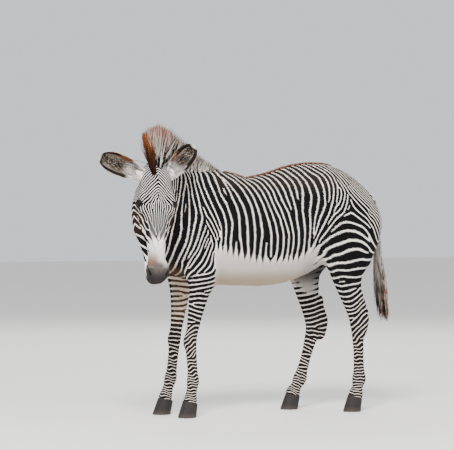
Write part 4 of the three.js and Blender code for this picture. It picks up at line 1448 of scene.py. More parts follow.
def ear_point(pose, t, across, inner):
    """A point of an ear's wall: t from root to tip, across from -1 to 1 round the channel, inner from 0 to 1."""
    root, axis, open_way, wide = ear_frame(pose)
    leaf = np.sqrt(np.maximum(1 - ((t - 0.62) / 0.388) ** 2, 0.001))
    half = EAR["width"] / 2 * np.where(t < 0.62, 0.5 + 0.5 * np.sin(t / 0.62 * math.pi / 2), leaf) - 1
    wrap = np.radians(150 + (62 - 150) * np.minimum(t * 1.5, 1))
    bend = half / np.sin(np.minimum(wrap, math.pi / 2))
    round_edge = np.sqrt(np.clip(1 - np.abs(across) ** 6, 0.0, 1))
    thick = EAR["thick"] * (1.6 - 0.6 * t) * round_edge * np.minimum(1, (1.02 - t) * 9)
    radius = np.maximum(bend - inner * thick, bend * 0.35)
    ripple = 1.2 * np.sin(across * 14 + t * 3) * inner * (1 - t)
    angle = wrap * across
    return (
        root
        + axis * (-30 + t * (EAR["length"] + 30))[..., None]
        + wide * ((radius + ripple) * np.sin(angle))[..., None]
        + open_way * (bend * 0.35 - (radius + ripple) * np.cos(angle))[..., None]
    )


def ear_shell(name):
    pose = EAR_POSES[name]
    t, across = np.meshgrid(np.linspace(0, 1, EAR_ROWS), np.linspace(-1, 1, EAR_ACROSS), indexing="ij")
    walls = [ear_point(pose, t, across, np.full_like(t, inner)).reshape(-1, 3) for inner in (0.0, 1.0)]
    count = EAR_ROWS * EAR_ACROSS
    faces = []
    for i in range(EAR_ROWS - 1):
        for j in range(EAR_ACROSS - 1):
            a = i * EAR_ACROSS + j
            quad = [a, a + 1, a + 1 + EAR_ACROSS, a + EAR_ACROSS]
            faces.append(quad)
            faces.append([q + count for q in reversed(quad)])
    edge = [(i * EAR_ACROSS, (i + 1) * EAR_ACROSS) for i in range(EAR_ROWS - 1)]
    edge += [((EAR_ROWS - 1) * EAR_ACROSS + j, (EAR_ROWS - 1) * EAR_ACROSS + j + 1) for j in range(EAR_ACROSS - 1)]
    last = EAR_ACROSS - 1
    edge += [(i * EAR_ACROSS + last, (i - 1) * EAR_ACROSS + last) for i in range(EAR_ROWS - 1, 0, -1)]
    edge += [(j, j - 1) for j in range(EAR_ACROSS - 1, 0, -1)]
    faces += [[b, a, a + count, b + count] for a, b in edge]
    made = mesh_piece(name.replace("ear", "ear_shell"), np.vstack(walls), faces, skin_finish)
    face_outwards(made, merge=0.00002)
    return made


def ear_place(pose, points):
    """Where points lie on an ear: t from root to tip, across, and how far towards the open side."""
    root, axis, open_way, wide = ear_frame(pose)
    away = points - root
    t = (away @ axis + 30) / (EAR["length"] + 30)
    return t, away @ wide / (EAR["width"] / 2), away @ open_way


def ear_colours(pose, points, inner):
    """The light colour at points of an ear; inner is 1 on the furry side."""
    t, across, _ = ear_place(pose, points)
    leaf = np.sqrt(np.maximum(1 - ((t - 0.62) / 0.4) ** 2, 0.03))
    leaf = np.where(t < 0.62, 0.5 + 0.5 * np.sin(np.clip(t, 0, 0.62) / 0.62 * math.pi / 2), leaf)
    rim = np.abs(across) / leaf
    upper = across * -pose[0]  # positive towards the crest of the neck
    colours = np.tile(linear("#d9d4cf"), (len(points), 1))
    paint(colours, inner * smooth_step(0.3, 0.46, t), "#6f6156")
    paint(colours, inner * smooth_step(0.32, 0.5, t) * (1 - smooth_step(0.25, 0.6, rim)), "#352b26")
    paint(colours, (1 - inner) * smooth_step(0.5, 0.56, t) * (1 - smooth_step(0.9, 0.95, t)), "#1b1718")
    paint(colours, smooth_step(0.62, 0.74, rim) * smooth_step(0.26, 0.4, t), "#171313")
    paint(colours, smooth_step(0.86, 0.93, t), "#1a1615")
    low_half = smooth_step(0.3, 0.4, t) * (upper > 0) * (1 - smooth_step(0.55, 0.65, t))
    paint(colours, smooth_step(0.45, 0.8, rim) * low_half, "#6b3f27")
    paint(colours, smooth_step(0.9, 0.96, rim) * smooth_step(0.4, 0.5, t) * 0.8, "#c7ab8a")
    paint(colours, smooth_step(0.965, 0.99, t), "#eadfcd")
    blotch = np.sin(points @ np.array([0.11, 0.05, 0.13])) * np.sin(points @ np.array([0.04, 0.12, -0.1]))
    paint(colours, smooth_step(0.35, 0.6, blotch) * (1 - smooth_step(0.3, 0.4, t)) * 0.8, "#5a4031")
    return colours


for name, pose in EAR_POSES.items():
    ear = ear_shell(name)
    points = to_body(points_of(ear.data))
    shade = normals_of(points, np.array([f.vertices[:3] for f in ear.data.polygons]))
    inner = (shade @ ear_frame(pose)[2] > 0.15).astype(float)
    colours = ear_colours(pose, points, inner)
    corners = np.zeros(len(ear.data.loops))
    store_markings(ear.data, corners, np.full(len(points), 2.0), colours, colours)
    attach(ear, "root")
    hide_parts(name)
print("ears:", EAR["length"], "mm long")

# %% [markdown]
# ## Hooves
#
# A hoof is a horn box, wider at the ground than at the coronet, with faint rings that show how it grew. Each
# is a loft of rings on the floor, with its lower edge worn round.

# %% Hooves
HOOF = {"length": 106, "width": 92, "height": 88}
HOOVES = {
    "hoof_fore_left": (-590, -122, 20),
    "hoof_fore_right": (-650, 122, 26),
    "hoof_hind_left": (434, -138, 20),
    "hoof_hind_right": (158, 138, 26),
}
HOOF_PROFILE = ([0, 0.03, 0.12, 0.6, 0.9, 0.97, 1], [0.97, 0.995, 0.985, 0.885, 0.815, 0.8, 0.76])

horn, tree, shader = material("grown_horn", Roughness=0.65, Specular_IOR_Level=0.2)
place = node(tree, "ShaderNodeTexCoord").outputs["Object"]
# Growth rings are 3 mm apart here, coarser than real ones so that they show.
rings = node(
    tree, "ShaderNodeTexWave", {"bands_direction": "Z", "Scale": 52, "Distortion": 1.5, "Detail": 2}, Vector=place
)
grain = node(tree, "ShaderNodeMapping", {"Scale": (260, 260, 20)}, Vector=place).outputs[0]
streaks = node(tree, "ShaderNodeTexNoise", {"Scale": 1.0, "Detail": 3}, Vector=grain).outputs["Fac"]
shade = node(
    tree, "ShaderNodeMix", {"data_type": "RGBA", 6: colour4("#161415"), 7: colour4("#35312f")}, i0=streaks
).outputs[2]
dust = node(tree, "ShaderNodeSeparateXYZ", Vector=place).outputs["Z"]
dust = node(tree, "ShaderNodeMapRange", {1: 0.0, 2: 0.03, 3: 0.45, 4: 0.0}, i0=dust).outputs[0]
shade = node(tree, "ShaderNodeMix", {"data_type": "RGBA", 7: colour4("#5d5046")}, i0=dust, i6=shade).outputs[2]
height = node(tree, "ShaderNodeMath", {"operation": "ADD"}, i0=rings.outputs["Fac"], i1=streaks).outputs[0]
bump = node(tree, "ShaderNodeBump", {"Strength": 0.5, "Distance": 0.001}, Height=height).outputs[0]
tree.links.new(shade, shader.inputs["Base Color"])
tree.links.new(bump, shader.inputs["Normal"])


def hoof(name, x, y, lean, around=56):
    angle = np.arange(around) / around * 2 * math.pi
    toe = np.where(np.cos(angle) > 0, 0.55, 0.45)
    rings = []
    for t in (0, 0.03, 0.12, 0.3, 0.45, 0.6, 0.75, 0.88, 0.95, 1.0):
        share = np.interp(t, *HOOF_PROFILE)
        px = x - np.cos(angle) * HOOF["length"] * toe * share + t * lean
        py = y + np.sin(angle) * HOOF["width"] / 2 * share * (1 - 0.05 * np.cos(angle - math.pi) * (1 - t))
        pz = t * HOOF["height"] * (1 + 0.12 * np.cos(angle))
        rings.append(np.stack([px, py, pz], axis=1))
    points = np.vstack(rings)
    faces = [
        [i * around + j, (i + 1) * around + j, (i + 1) * around + (j + 1) % around, i * around + (j + 1) % around]
        for i in range(len(rings) - 1)
        for j in range(around)
    ]
    faces.append(list(range(around)))
    faces.append(list(reversed([(len(rings) - 1) * around + j for j in range(around)])))
    made = mesh_piece(name.replace("hoof", "hoof_horn"), points, faces, horn)
    face_outwards(made)
    bpy.ops.object.shade_smooth_by_angle(angle=math.radians(50))
    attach(made, "root")
    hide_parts(name)


for name, pose in HOOVES.items():
    hoof(name, *pose)
print("hooves:", len(HOOVES))

# %% [markdown]
# ## Tufts of hair
#
# Hair is made as locks: thin closed spikes that follow a curve, each a few triangles. A tuft of the coat takes
# its marking from the skin at its root, and the mane takes the stripes' phase from the neck under it. The tail
# and the forelock have colours of their own. The locks also carry a second map that says where on the body each
# one grew. It unrolls the trunk, neck, head, legs, ears and tail round their own middle lines into separate
# fields of one square.

# %% Where on the unrolled body a point lies
FIELDS = {  # left, bottom, width and height of each part's field in the unit square
    "trunk": (0.01, 0.01, 0.42, 0.66),
    "neck": (0.45, 0.01, 0.2, 0.5),
    "head": (0.67, 0.01, 0.22, 0.34),
    "fore_left": (0.45, 0.53, 0.26, 0.12),
    "fore_right": (0.45, 0.67, 0.26, 0.12),
    "hind_left": (0.01, 0.69, 0.34, 0.14),
    "hind_right": (0.01, 0.85, 0.34, 0.14),
    "tail": (0.45, 0.81, 0.2, 0.1),
    "ear_left": (0.73, 0.38, 0.1, 0.14),
    "ear_right": (0.85, 0.38, 0.1, 0.14),
    "crest": (0.73, 0.55, 0.25, 0.08),
}


def part_of(points):
    """The name of the part that each point lies on."""
    x, y, z = points.T
    parts = np.full(len(points), "trunk", dtype=object)
    neck_side = (points - np.array([-470.0, -20, 1150])) @ unit(np.array([-0.84, -0.35, 0.4]))
    parts[(neck_side > 0) & (z > 900)] = "neck"
    parts[in_head(points)] = "head"
    low_fore = (x < -300) & (z < 860) & (parts != "head")
    low_hind = (x > 100) & (z < 900) & (x < 620)
    parts[low_fore & (y < 0)] = "fore_left"
    parts[low_fore & (y >= 0)] = "fore_right"
    parts[low_hind & (y < 0)] = "hind_left"
    parts[low_hind & (y >= 0)] = "hind_right"
    parts[(x > 590) & (z < 1200)] = "tail"
    return parts


def unrolled(points, parts):
    """Places in the unit square: along a part's middle line, and round it."""
    x, y, z = points.T
    s, w, d = into_head(points).T
    ways = {
        "trunk": ((x + 760) / 1400, np.arctan2(y, z - 1060)),
        "neck": (
            (points @ unit(np.array([-0.62, -0.62, 0.48])) - 900) / 560,
            np.arctan2(y + 0.7 * (x + 400) * -0.9, z - 1180),
        ),
        "head": ((s + 60) / 720, np.arctan2(w, d + 110)),
        "fore_left": (z / 880, np.arctan2(y + 122, x + 560)),
        "fore_right": (z / 880, np.arctan2(y - 122, x + 585)),
        "hind_left": (z / 920, np.arctan2(y + 138, x - 430)),
        "hind_right": (z / 920, np.arctan2(y - 138, x - 280)),
        "tail": ((z - 500) / 720, np.arctan2(y, x - 660)),
    }
    out = np.zeros((len(points), 2))
    for part, (along, angle) in ways.items():
        rows = parts == part
        left, bottom, width, height = FIELDS[part]
        out[rows, 0] = left + width * np.clip(along[rows], 0, 1)
        out[rows, 1] = bottom + height * (angle[rows] / (2 * math.pi) + 0.5)
    return out


# %% The stripes' phase at any point near the skin
from mathutils.kdtree import KDTree

tree_of_skin = KDTree(len(body_points))
for index, point in enumerate(body_points):
    tree_of_skin.insert(point, index)
tree_of_skin.balance()
stripe_angle = np.angle(value)


def nearest_rows(points):
    return np.array([tree_of_skin.find(p)[1] for p in points])


def phase_at(points):
    """The stripes' phase at points near the skin, carried on from the nearest point of it."""
    rows = nearest_rows(points)
    return stripe_angle[rows] + 2 * math.pi * ((points - body_points[rows]) * wave[rows]).sum(1)


# %% A mesh of locks
PATCH = 0.003  # the size of a lock's patch in the unit square


def locks(name, root, up, flow, length, width, rings, marks, places, rise=0.25, curl=None, thick=0.4, replaced=()):
    """Closed spikes: rings of three points along a curve, and a tip. Sizes are in mm, rise in radians."""
    count = len(root)
    up = unit(up)
    flow = unit(flow - up * (flow * up).sum(1, keepdims=True))
    across = np.cross(up, flow)
    rise = np.broadcast_to(rise, count)[:, None]
    length, width = (np.broadcast_to(v, count)[:, None] for v in (length, width))
    curl = np.zeros((count, 3)) if curl is None else curl
    heading = flow * np.cos(rise) + up * np.sin(rise)
    over = np.cross(heading, across)
    layers = []
    for k in range(rings):
        t = k / rings
        centre = root + heading * length * t + curl * t * t
        size = width * (1 - 0.7 * t * t) / 2
        layers += [centre - across * size, centre + across * size, centre + over * size * 2 * thick]
    layers.append(root + heading * length + curl)
    points = np.stack(layers, axis=1)
    corners = rings * 3 + 1
    faces = [[0, 2, 1]]
    for k in range(rings - 1):
        for a in range(3):
            b = (a + 1) % 3
            faces += [[k * 3 + a, k * 3 + b, k * 3 + 3 + b], [k * 3 + a, k * 3 + 3 + b, k * 3 + 3 + a]]
    faces += [[(rings - 1) * 3 + a, (rings - 1) * 3 + (a + 1) % 3, corners - 1] for a in range(3)]
    faces = np.array(faces)
    sample = points[0]
    centre = sample.mean(0)
    volume = sum(np.dot(sample[a] - centre, np.cross(sample[b] - centre, sample[c] - centre)) for a, b, c in faces)
    if volume < 0:
        faces = faces[:, ::-1]
    every = (faces[None] + (np.arange(count) * corners)[:, None, None]).reshape(-1, 3)
    mesh = bpy.data.meshes.new(name)
    mesh.vertices.add(count * corners)
    mesh.vertices.foreach_set("co", to_frame(points.reshape(-1, 3)).ravel())
    mesh.loops.add(every.size)
    mesh.loops.foreach_set("vertex_index", every.ravel().astype(np.int32))
    mesh.polygons.add(len(every))
    mesh.polygons.foreach_set("loop_start", np.arange(0, every.size, 3, dtype=np.int32))
    mesh.update(calc_edges=True)
    made = bpy.data.objects.new(name, mesh)
    bpy.context.collection.objects.link(made)
    phase, part_share, dark_of, light_of = marks
    store_markings(
        mesh,
        np.repeat(phase, len(faces) * 3),
        np.repeat(part_share, corners),
        spread_colours(dark_of, corners, rings),
        spread_colours(light_of, corners, rings),
    )
    uv = mesh.uv_layers.new(name="OFBake")
    offsets = np.array([[-0.5, -0.5], [0.5, -0.5], [0, -0.2]] * rings + [[0, 0.5]]) * PATCH
    offsets[: rings * 3, 1] += np.repeat(np.arange(rings) / rings, 3) * PATCH
    spots = places[:, None, :] + offsets[None]
    uv.data.foreach_set("uv", spots.reshape(-1, 2)[every.ravel()].astype(np.float32).ravel())
    mesh.polygons.foreach_set("use_smooth", [rings > 1] * len(mesh.polygons))
    mesh.materials.append(hair_finish)
    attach(made, "root")
    if replaced:
        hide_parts(*replaced)
    print(name, count, "locks,", len(every), "triangles")
    return made


def spread_colours(colours, corners, rings):
    """One colour for each lock, or a row of colours from its root to its tip, blended along it."""
    if colours.ndim == 2:
        return np.repeat(colours, corners, axis=0)
    stops = colours.shape[1] - 1
    along = np.append(np.repeat(np.arange(rings) / rings, 3), 1.0) * stops
    low = np.minimum(along.astype(int), stops - 1)
    part = (along - low)[None, :, None]
    return (colours[:, low] * (1 - part) + colours[:, low + 1] * part).reshape(-1, 3)


# Tufts and locks: the same way of colouring as the skin's, from attributes of their own, without the bump.
hair_finish, tree, shader = material("striped_hair_locks", Roughness=0.75, Specular_IOR_Level=0.1)
place, colour, hairs = striped(tree, 0.5)
tone = node(tree, "ShaderNodeMapRange", {1: 0.3, 2: 0.7, 3: 0.8, 4: 1.15}, i0=hairs).outputs[0]
toned = node(tree, "ShaderNodeVectorMath", {"operation": "SCALE"}, i0=colour, Scale=tone).outputs[0]
tree.links.new(toned, shader.inputs["Base Color"])
print("hair finish ready")

# %% [markdown]
# ## The short coat
#
# Most of a zebra's hair lies flat and reads as a surface, so the skin's bump carries it. What bump can't do is
# break the outline, so short flat tufts are planted all over as well, lying backwards along the trunk and down
# the legs and the face. They are spikes of four triangles, longest on the belly and smallest on face and feet.

# %% Roots spread over the skin
corner_points = body_points[skin_triangles]
triangle_middles = corner_points.mean(axis=1)
triangle_areas = np.linalg.norm(
    np.cross(corner_points[:, 1] - corner_points[:, 0], corner_points[:, 2] - corner_points[:, 0]), axis=1
)


def scatter(count, weight):
    """Roots spread by area and weight, with everything that the skin has there."""
    chance = np.cumsum(triangle_areas * weight)
    spots = (np.arange(count) + RANDOM.random(count)) / count * chance[-1]
    rows = np.minimum(np.searchsorted(chance, spots), len(chance) - 1)
    a, b = RANDOM.random(count), RANDOM.random(count)
    over = a + b > 1
    a, b = np.where(over, 1 - a, a), np.where(over, 1 - b, b)
    mix = np.stack([1 - a - b, a, b], axis=1)
    corners = skin_triangles[rows]

    def at(values):
        return np.einsum("nk,nk...->n...", mix, values[corners])

    marks = ((mix * stripe_corners[rows]).sum(1), at(share), at(dark), at(light))
    return at(body_points), unit(at(skin_normals)), marks, at(period)


# %% The lie of the hair
def lie_of(points):
    """Which way the hair lies: back along the trunk, down the legs, down and outwards on the face."""
    x, z = points[:, 0], points[:, 2]
    w = into_head(points)[:, 1]
    flow = np.tile([0.85, 0.0, -0.5], (len(points), 1))
    legs = (1 - smooth_step(640, 840, z))[:, None]
    flow = flow * (1 - legs) + np.array([0.12, 0, -1.0]) * legs
    neck = (smooth_step(-480, -620, x) * smooth_step(860, 960, z))[:, None]
    flow = flow * (1 - neck) + np.array([0.55, 0.25, -0.75]) * neck
    head = in_head(points)
    down_face = along_face * 0.85 + side_of_face * 0.35 * np.sign(w)[:, None] - out_of_face * 0.3
    flow[head] = down_face[head]
    return flow


COAT_PIECES = {  # parts of the body and how many tufts grow there
    "coat_trunk_left": (("trunk",), -1, 36000),
    "coat_trunk_right": (("trunk",), 1, 36000),
    "coat_neck": (("neck",), 0, 26000),
    "coat_head": (("head",), 0, 26000),
    "coat_forelegs": (("fore_left", "fore_right"), 0, 22000),
    "coat_hind_legs": (("hind_left", "hind_right", "tail"), 0, 26000),
}
triangle_parts = part_of(triangle_middles)
bare = np.maximum(rims, inside * (hold_lid > 0))[skin_triangles].mean(axis=1)
bare = np.maximum(bare, (on_head * (nostril < 12))[skin_triangles].mean(axis=1))
thinned = 1.0
for name, (parts, half, count) in COAT_PIECES.items():
    weight = np.isin(triangle_parts, parts) * (bare < 0.2)
    if half:
        weight = weight * (triangle_middles[:, 1] * half > 0)
    root, up, marks, spacing = scatter(int(count * thinned), weight)
    head = in_head(root)
    feet = 1 - smooth_step(160, 420, root[:, 2])
    fine = np.maximum(head, feet)
    s, w, d = into_head(root).T
    muzzle_hair = head * smooth_step(430, 580, s)
    length = 16 - 7.5 * fine - 4.0 * muzzle_hair + 6 * smooth_step(0.3, 0.9, -up[:, 2]) * (root[:, 2] > 700)
    length = np.minimum(length, 0.36 * spacing) * RANDOM.uniform(0.75, 1.2, len(root))
    width = np.minimum(3.0 - 1.3 * fine, 0.12 * spacing) * RANDOM.uniform(0.8, 1.2, len(root))
    rise = RANDOM.uniform(0.06, 0.22, len(root))
    flow = lie_of(root) + RANDOM.normal(0, 0.12, root.shape)
    places = unrolled(root, part_of(root))
    lying = unit(flow - up * (flow * up).sum(1, keepdims=True))
    start = root - up * 0.6 - lying * length[:, None] * 0.5  # so that each tuft is centred on its own marking
    locks(name, start, up, flow, length, width, 1, marks, places, rise=rise, thick=0.28)

# %% [markdown]
# ## Mane and forelock
#
# The mane stands straight up like a brush, because each hair is stiff and short for its thickness. Each lock
# takes the marking of the neck under it and turns brown at its tip. At the front it runs over the poll into a
# dark forelock that leans to the right side of the face.

# %% The crest that the mane grows from: x, y, z, height, half thickness
CREST = [
    [-325, 0, 1335, 50, 12],
    [-400, -2, 1345, 84, 18],
    [-500, -30, 1358, 124, 24],
    [-600, -86, 1378, 162, 28],
    [-695, -155, 1400, 192, 31],
    [-782, -225, 1418, 212, 34],
    [-838, -290, 1418, 220, 37],
    [-866, -352, 1402, 232, 42],
    [-882, -394, 1394, 220, 36],
    [-884, -418, 1378, 190, 30],
]
crest = smooth_line(CREST, 6)


def along_crest(t):
    """Crest values, and its level sideways direction, at places from 0 at the withers to 1 at the forelock."""
    spots = t * (len(crest) - 1)
    low = np.minimum(spots.astype(int), len(crest) - 2)
    here = crest[low] + (crest[low + 1] - crest[low]) * (spots - low)[:, None]
    step = (crest[low + 1] - crest[low])[:, :3] * [1, 1, 0]
    return here, unit(np.cross(UP, step)), unit(step)


def crest_roots(t, spread):
    here, sideways, ahead = along_crest(t)
    guess = here[:, :3] + sideways * (spread * here[:, 4])[:, None] * 0.8
    root = body_points[nearest_rows(guess)] * 0.75 + guess * 0.25
    root[:, :2] = guess[:, :2]
    return root, here, sideways, ahead


count = int(6200 * (1))
t = 0.88 * RANDOM.random(count) ** 0.9
spread = RANDOM.uniform(-1, 1, count)
spread = np.where(t > 0.74, spread * 0.7 + 0.3, spread)  # the forelock stands beside the front end
root, here, sideways, ahead = crest_roots(t, spread)
top = here[:, 2] + here[:, 3]
top = np.maximum(top, 1612 * smooth_step(0.78, 0.86, t) - 22 * smooth_step(0.93, 1.0, t))
fringe = smooth_step(0, 0.06, t)
length = (top - root[:, 2]) * RANDOM.uniform(0.87, 1.06, count) * (0.5 + 0.5 * fringe) * (1 - 0.1 * np.abs(spread))
length = length * np.where(RANDOM.random(count) < 0.06, 1.12, 1.0)
lean = sideways * (spread * 0.1)[:, None] + ahead * RANDOM.uniform(-0.05, 0.05, count)[:, None]
phase = phase_at(root)
rusty = RANDOM.random(count)[:, None]
front = smooth_step(0.5, 0.9, t)[:, None]
tip = linear("#8a471d") * rusty + linear("#472310") * (1 - rusty)
tip = tip * front + linear("#6e5c4e") * (1 - front)
base_dark = np.tile(linear("#1b1615"), (count, 1))
base_light = np.tile(linear("#e2dad1"), (count, 1))
streak = np.where(np.cos(2 * math.pi * (spread * 2.4 + RANDOM.normal(0, 0.06, count))) > 0.35, 0.0, math.pi)
phase = np.where(t > 0.72, streak, phase)
dark_row = np.stack([base_dark, base_dark, base_dark, base_dark * 0.8 + tip * 0.2, tip * 0.8], 1)
light_row = np.stack([base_light, base_light, base_light, base_light * 0.7 + tip * 0.3, tip], 1)
marks = (phase, np.full(count, 0.48), dark_row, light_row)
places = np.stack([0.73 + 0.25 * t, 0.55 + 0.08 * (spread + 1) / 2], axis=1)
flow = UP + lean
mane_up = -ahead + RANDOM.normal(0, 0.3, root.shape)
locks(
    "mane_hair", root - UP * 4, mane_up, flow, length + 4, 5.5, 4, marks, places, rise=0.0,
    curl=sideways * (spread * 9 + RANDOM.normal(0, 5, count))[:, None], replaced=("mane",),
)

# %% Forelock
count = int(700 * (1))
t = RANDOM.uniform(0.84, 1.0, count)
spread = RANDOM.uniform(-1.15, -0.55, count)
root, here, sideways, ahead = crest_roots(t, spread)
root = root + ahead * RANDOM.uniform(-10, 14, count)[:, None] - UP * RANDOM.uniform(0, 10, count)[:, None]
length = np.maximum(here[:, 2] + here[:, 3] - root[:, 2], 60) * RANDOM.uniform(0.6, 0.98, count)
length = np.maximum(length, (1560 - root[:, 2]) * RANDOM.uniform(0.5, 1.0, count))
shade = RANDOM.random(count)[:, None]
brown = linear("#190e09") * (1 - shade) + linear("#4a2614") * shade
tip = linear("#8f5027") * shade + linear("#552c16") * (1 - shade)
colours = np.stack([brown * 0.5, brown, tip], axis=1)
marks = (np.zeros(count), np.full(count, 2.0), colours, colours)
places = np.stack([0.73 + 0.25 * t, 0.64 + 0.02 * (spread + 1) / 2], axis=1)
flow = UP - sideways * 0.22 + ahead * 0.02
locks(
    "forelock", root, -ahead + RANDOM.normal(0, 0.15, root.shape), flow, length, 5.0, 4, marks, places, rise=0.0,
    curl=RANDOM.normal(0, 5, root.shape) * [1, 1, 0],
)

# %% [markdown]
# ## Tail, back line, ears, lashes and whiskers
#
# The tail ends in a tuft of long loose hair. Reddish hair stands along the back. The ears are lined with long
# pale hair, and the lids and the lips carry a few stiff ones.

# %% Tail tuft
tail_line = smooth_line(TAIL, 8)


def along_tail(z):
    order = np.argsort(tail_line[:, 2])
    return np.stack([np.interp(z, tail_line[order, 2], tail_line[order, k]) for k in range(5)], axis=1)


count = int(3000 * (1))
start = 985 - 330 * RANDOM.random(count) ** 1.5
around = RANDOM.uniform(0, 2 * math.pi, count)
here = along_tail(start)
out = np.stack([np.cos(around), np.sin(around), np.zeros(count)], axis=1)
root = here[:, :3] + out * (here[:, 3] * RANDOM.uniform(0.3, 0.8, count))[:, None]
length = np.minimum(RANDOM.uniform(150, 330, count), start - RANDOM.uniform(505, 690, count))
end = along_tail(start - length)
flow = end[:, :3] - here[:, :3] + out * (end[:, 3] * RANDOM.uniform(0.0, 1.1, count))[:, None]
kind = RANDOM.random(count)[:, None]
kind = kind + 0.35 * (out[:, :1] * 0.91 - out[:, 1:2] * 0.41) * (RANDOM.random(count)[:, None] < 0.8)
colours = np.where(kind < 0.55, linear("#171414"), np.where(kind < 0.88, linear("#a39c96"), linear("#6a4630")))
pale = (smooth_step(800, 950, start) * (RANDOM.random(count) < 0.62))[:, None]
colours = colours * (1 - pale) + linear("#cdc7c2") * pale
tip = np.where(kind < 0.55, linear("#1d1715"), np.where(kind < 0.8, linear("#6f5f52"), linear("#8d6a4a")))
colours = np.stack([colours, colours * 0.5 + tip * 0.5, tip], axis=1)
marks = (np.zeros(count), np.full(count, 2.0), colours, colours)
left, bottom, wide, tall = FIELDS["tail"]
places = np.stack([left + wide * (start - 500) / 720, bottom + tall * around / (2 * math.pi)], axis=1)
curl = RANDOM.normal(0, 6, root.shape)
locks(
    "tail_hair", root, out, flow, length, 4.5, 4, marks, places, rise=0.0, curl=curl, replaced=("tail_tuft",)
)

# %% Hair along the line of the back
middle = triangle_middles
on_line = (np.abs(middle[:, 1]) < 15) * (middle[:, 0] > -330) * (middle[:, 0] < 350) * (middle[:, 2] > 1250)
root, up, marks, _ = scatter(int(2600 * thinned), on_line.astype(float))
shade = RANDOM.random(len(root))[:, None]
colours = linear("#3a2419") * (1 - shade) + linear("#a06a48") * shade
marks = (marks[0] * 0, marks[1] * 0 + 2, np.stack([colours * 0.6, colours], 1), np.stack([colours * 0.6, colours], 1))
flow = np.array([0.9, 0, 0.1]) + RANDOM.normal(0, 0.15, root.shape)
spots = unrolled(root, part_of(root))
length = RANDOM.uniform(12, 24, len(root))
rise = RANDOM.uniform(0.3, 0.8, len(root))
locks("back_line", root - up, up, flow, length, 3.0, 2, marks, spots, rise=rise)

# %% Hair in the ears and along their rims
for ear_name, pose in EAR_POSES.items():
    count = int(2200 * (1))
    on_rim = RANDOM.random(count) < 0.3
    t = RANDOM.uniform(0.12, 0.93, count)
    at_edge = np.sign(RANDOM.random(count) - 0.5) * RANDOM.uniform(0.9, 0.985, count)
    across = np.where(on_rim, at_edge, RANDOM.uniform(-0.6, 0.6, count))
    root = ear_point(pose, t, across, np.ones(count))
    middle = ear_point(pose, np.minimum(t + 0.12, 1), across * 0.6, np.ones(count))
    _, axis, open_way, wide = ear_frame(pose)
    flow = unit(middle - root) * np.where(on_rim, 0.15, 0.8)[:, None]
    flow = flow + axis * 0.8 + open_way * np.where(on_rim, 0.1, 0.25)[:, None]
    flow = flow + RANDOM.normal(0, 0.15, root.shape)
    length = np.where(on_rim, RANDOM.uniform(5, 11, count), RANDOM.uniform(14, 30, count))
    length = length * (1 - 0.6 * smooth_step(0.8, 0.95, t))
    colours = ear_colours(pose, root, np.ones(count))
    pale = (RANDOM.random(count) < 0.22)[:, None] * ~on_rim[:, None]
    colours = np.where(pale, linear("#a3978b"), colours)
    left, bottom, wide_of, tall = FIELDS[ear_name]
    places = np.stack([left + wide_of * (across + 1) / 2, bottom + tall * t], axis=1)
    marks = (np.zeros(count), np.full(count, 2.0), colours, colours)
    ear_up = open_way + wide * (-across)[:, None]
    locks("hair_" + ear_name, root, ear_up, flow, length, 2.2, 2, marks, places, rise=0.15)

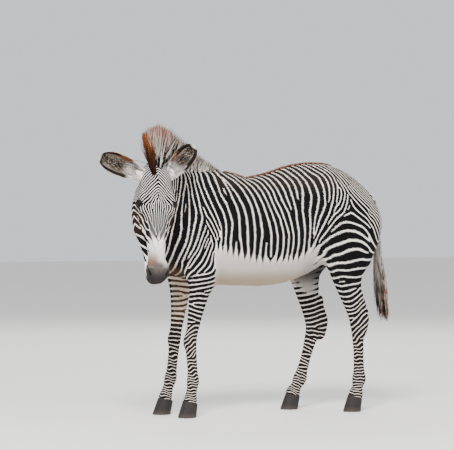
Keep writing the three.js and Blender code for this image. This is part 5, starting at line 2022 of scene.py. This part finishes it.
# %% Lashes and whiskers
root, up, flow, length = [], [], [], []
for sign in (1, -1):
    turn = np.array([1, sign, 1])
    for along in np.linspace(-0.5, 0.66, 18):
        lift = math.sqrt(1 - (along / ALMOND[0]) ** 2) * ALMOND[1] + 0.08
        way = LOOK * math.cos(math.hypot(along, lift)) + eye_length * math.sin(along) + eye_height * math.sin(lift)
        spot = eye_middle + unit(way) * (EYE["radius"] + LID)
        root.append(out_of_head(spot * turn))
        flow.append(((unit(way) * 0.8 - eye_height * 0.1 + np.array([0.7, 0, 0])) * turn) @ HEAD_AXES)
        up.append((eye_height * turn) @ HEAD_AXES)
        length.append(RANDOM.uniform(5, 9))
lashes = len(root)
muzzle_rows = np.flatnonzero(on_head & (into_head(body_points)[:, 0] > 575) & (RANDOM.random(len(body_points)) < 0.02))
for row in muzzle_rows[:90]:
    root.append(body_points[row])
    up.append(skin_normals[row])
    flow.append(skin_normals[row] + along_face * 0.9 + RANDOM.normal(0, 0.2, 3))
    length.append(RANDOM.uniform(7, 16))
root, up, flow, length = (np.array(v) for v in (root, up, flow, length))
flow = unit(flow)
up = np.cross(flow, unit(np.cross(up, flow) + 1e-6))
colours = np.tile(linear("#100d0d"), (len(root), 1))
marks = (np.zeros(len(root)), np.full(len(root), 2.0), colours, colours)
places = unrolled(root, np.full(len(root), "head", dtype=object))
locks("lashes_and_whiskers", root, up, flow, length, 1.1, 3, marks, places, rise=0.0)

# %% [markdown]
# ## Floor and light
#
# A plain pale floor that runs up into the distance, and soft light: a large key from the front left and above,
# a weaker fill, a rim from behind, and a pale sky so that no shadow is black.

# %% Floor
bpy.ops.object.select_all(action="DESELECT")
bpy.ops.mesh.primitive_plane_add(size=60)
floor = bpy.context.object
floor.name = "studio_floor"
matt, tree, shader = material("matt_studio_paint", Roughness=0.9)
shader.inputs["Base Color"].default_value = colour4("#e8e5e0")
floor.data.materials.append(matt)


# %% Lights
def lamp(name, location, aim, power, size):
    bpy.ops.object.light_add(type="AREA", location=location)
    made = bpy.context.object
    made.name = name
    made.data.energy = power
    made.data.size = size
    made.rotation_euler = (Vector(aim) - made.location).to_track_quat("-Z", "Y").to_euler()


lamp("key", (-3.5, -6.5, 7.5), (0, 0, 0.9), 1800, 3)
lamp("fill", (6, -7, 3.5), (0, 0, 0.9), 160, 6)
lamp("rim", (3, 7, 6), (0, 0, 1.0), 450, 5)
world = bpy.data.worlds.new("studio")
bpy.context.scene.world = world
world.use_nodes = True
sky = world.node_tree.nodes["Background"]
sky.inputs["Color"].default_value = (0.93, 0.96, 1.0, 1)
sky.inputs["Strength"].default_value = 0.95

# %% Finish
bpy.data.objects["skin"].select_set(False)
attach(skin, "root")
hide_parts(*FLESH)
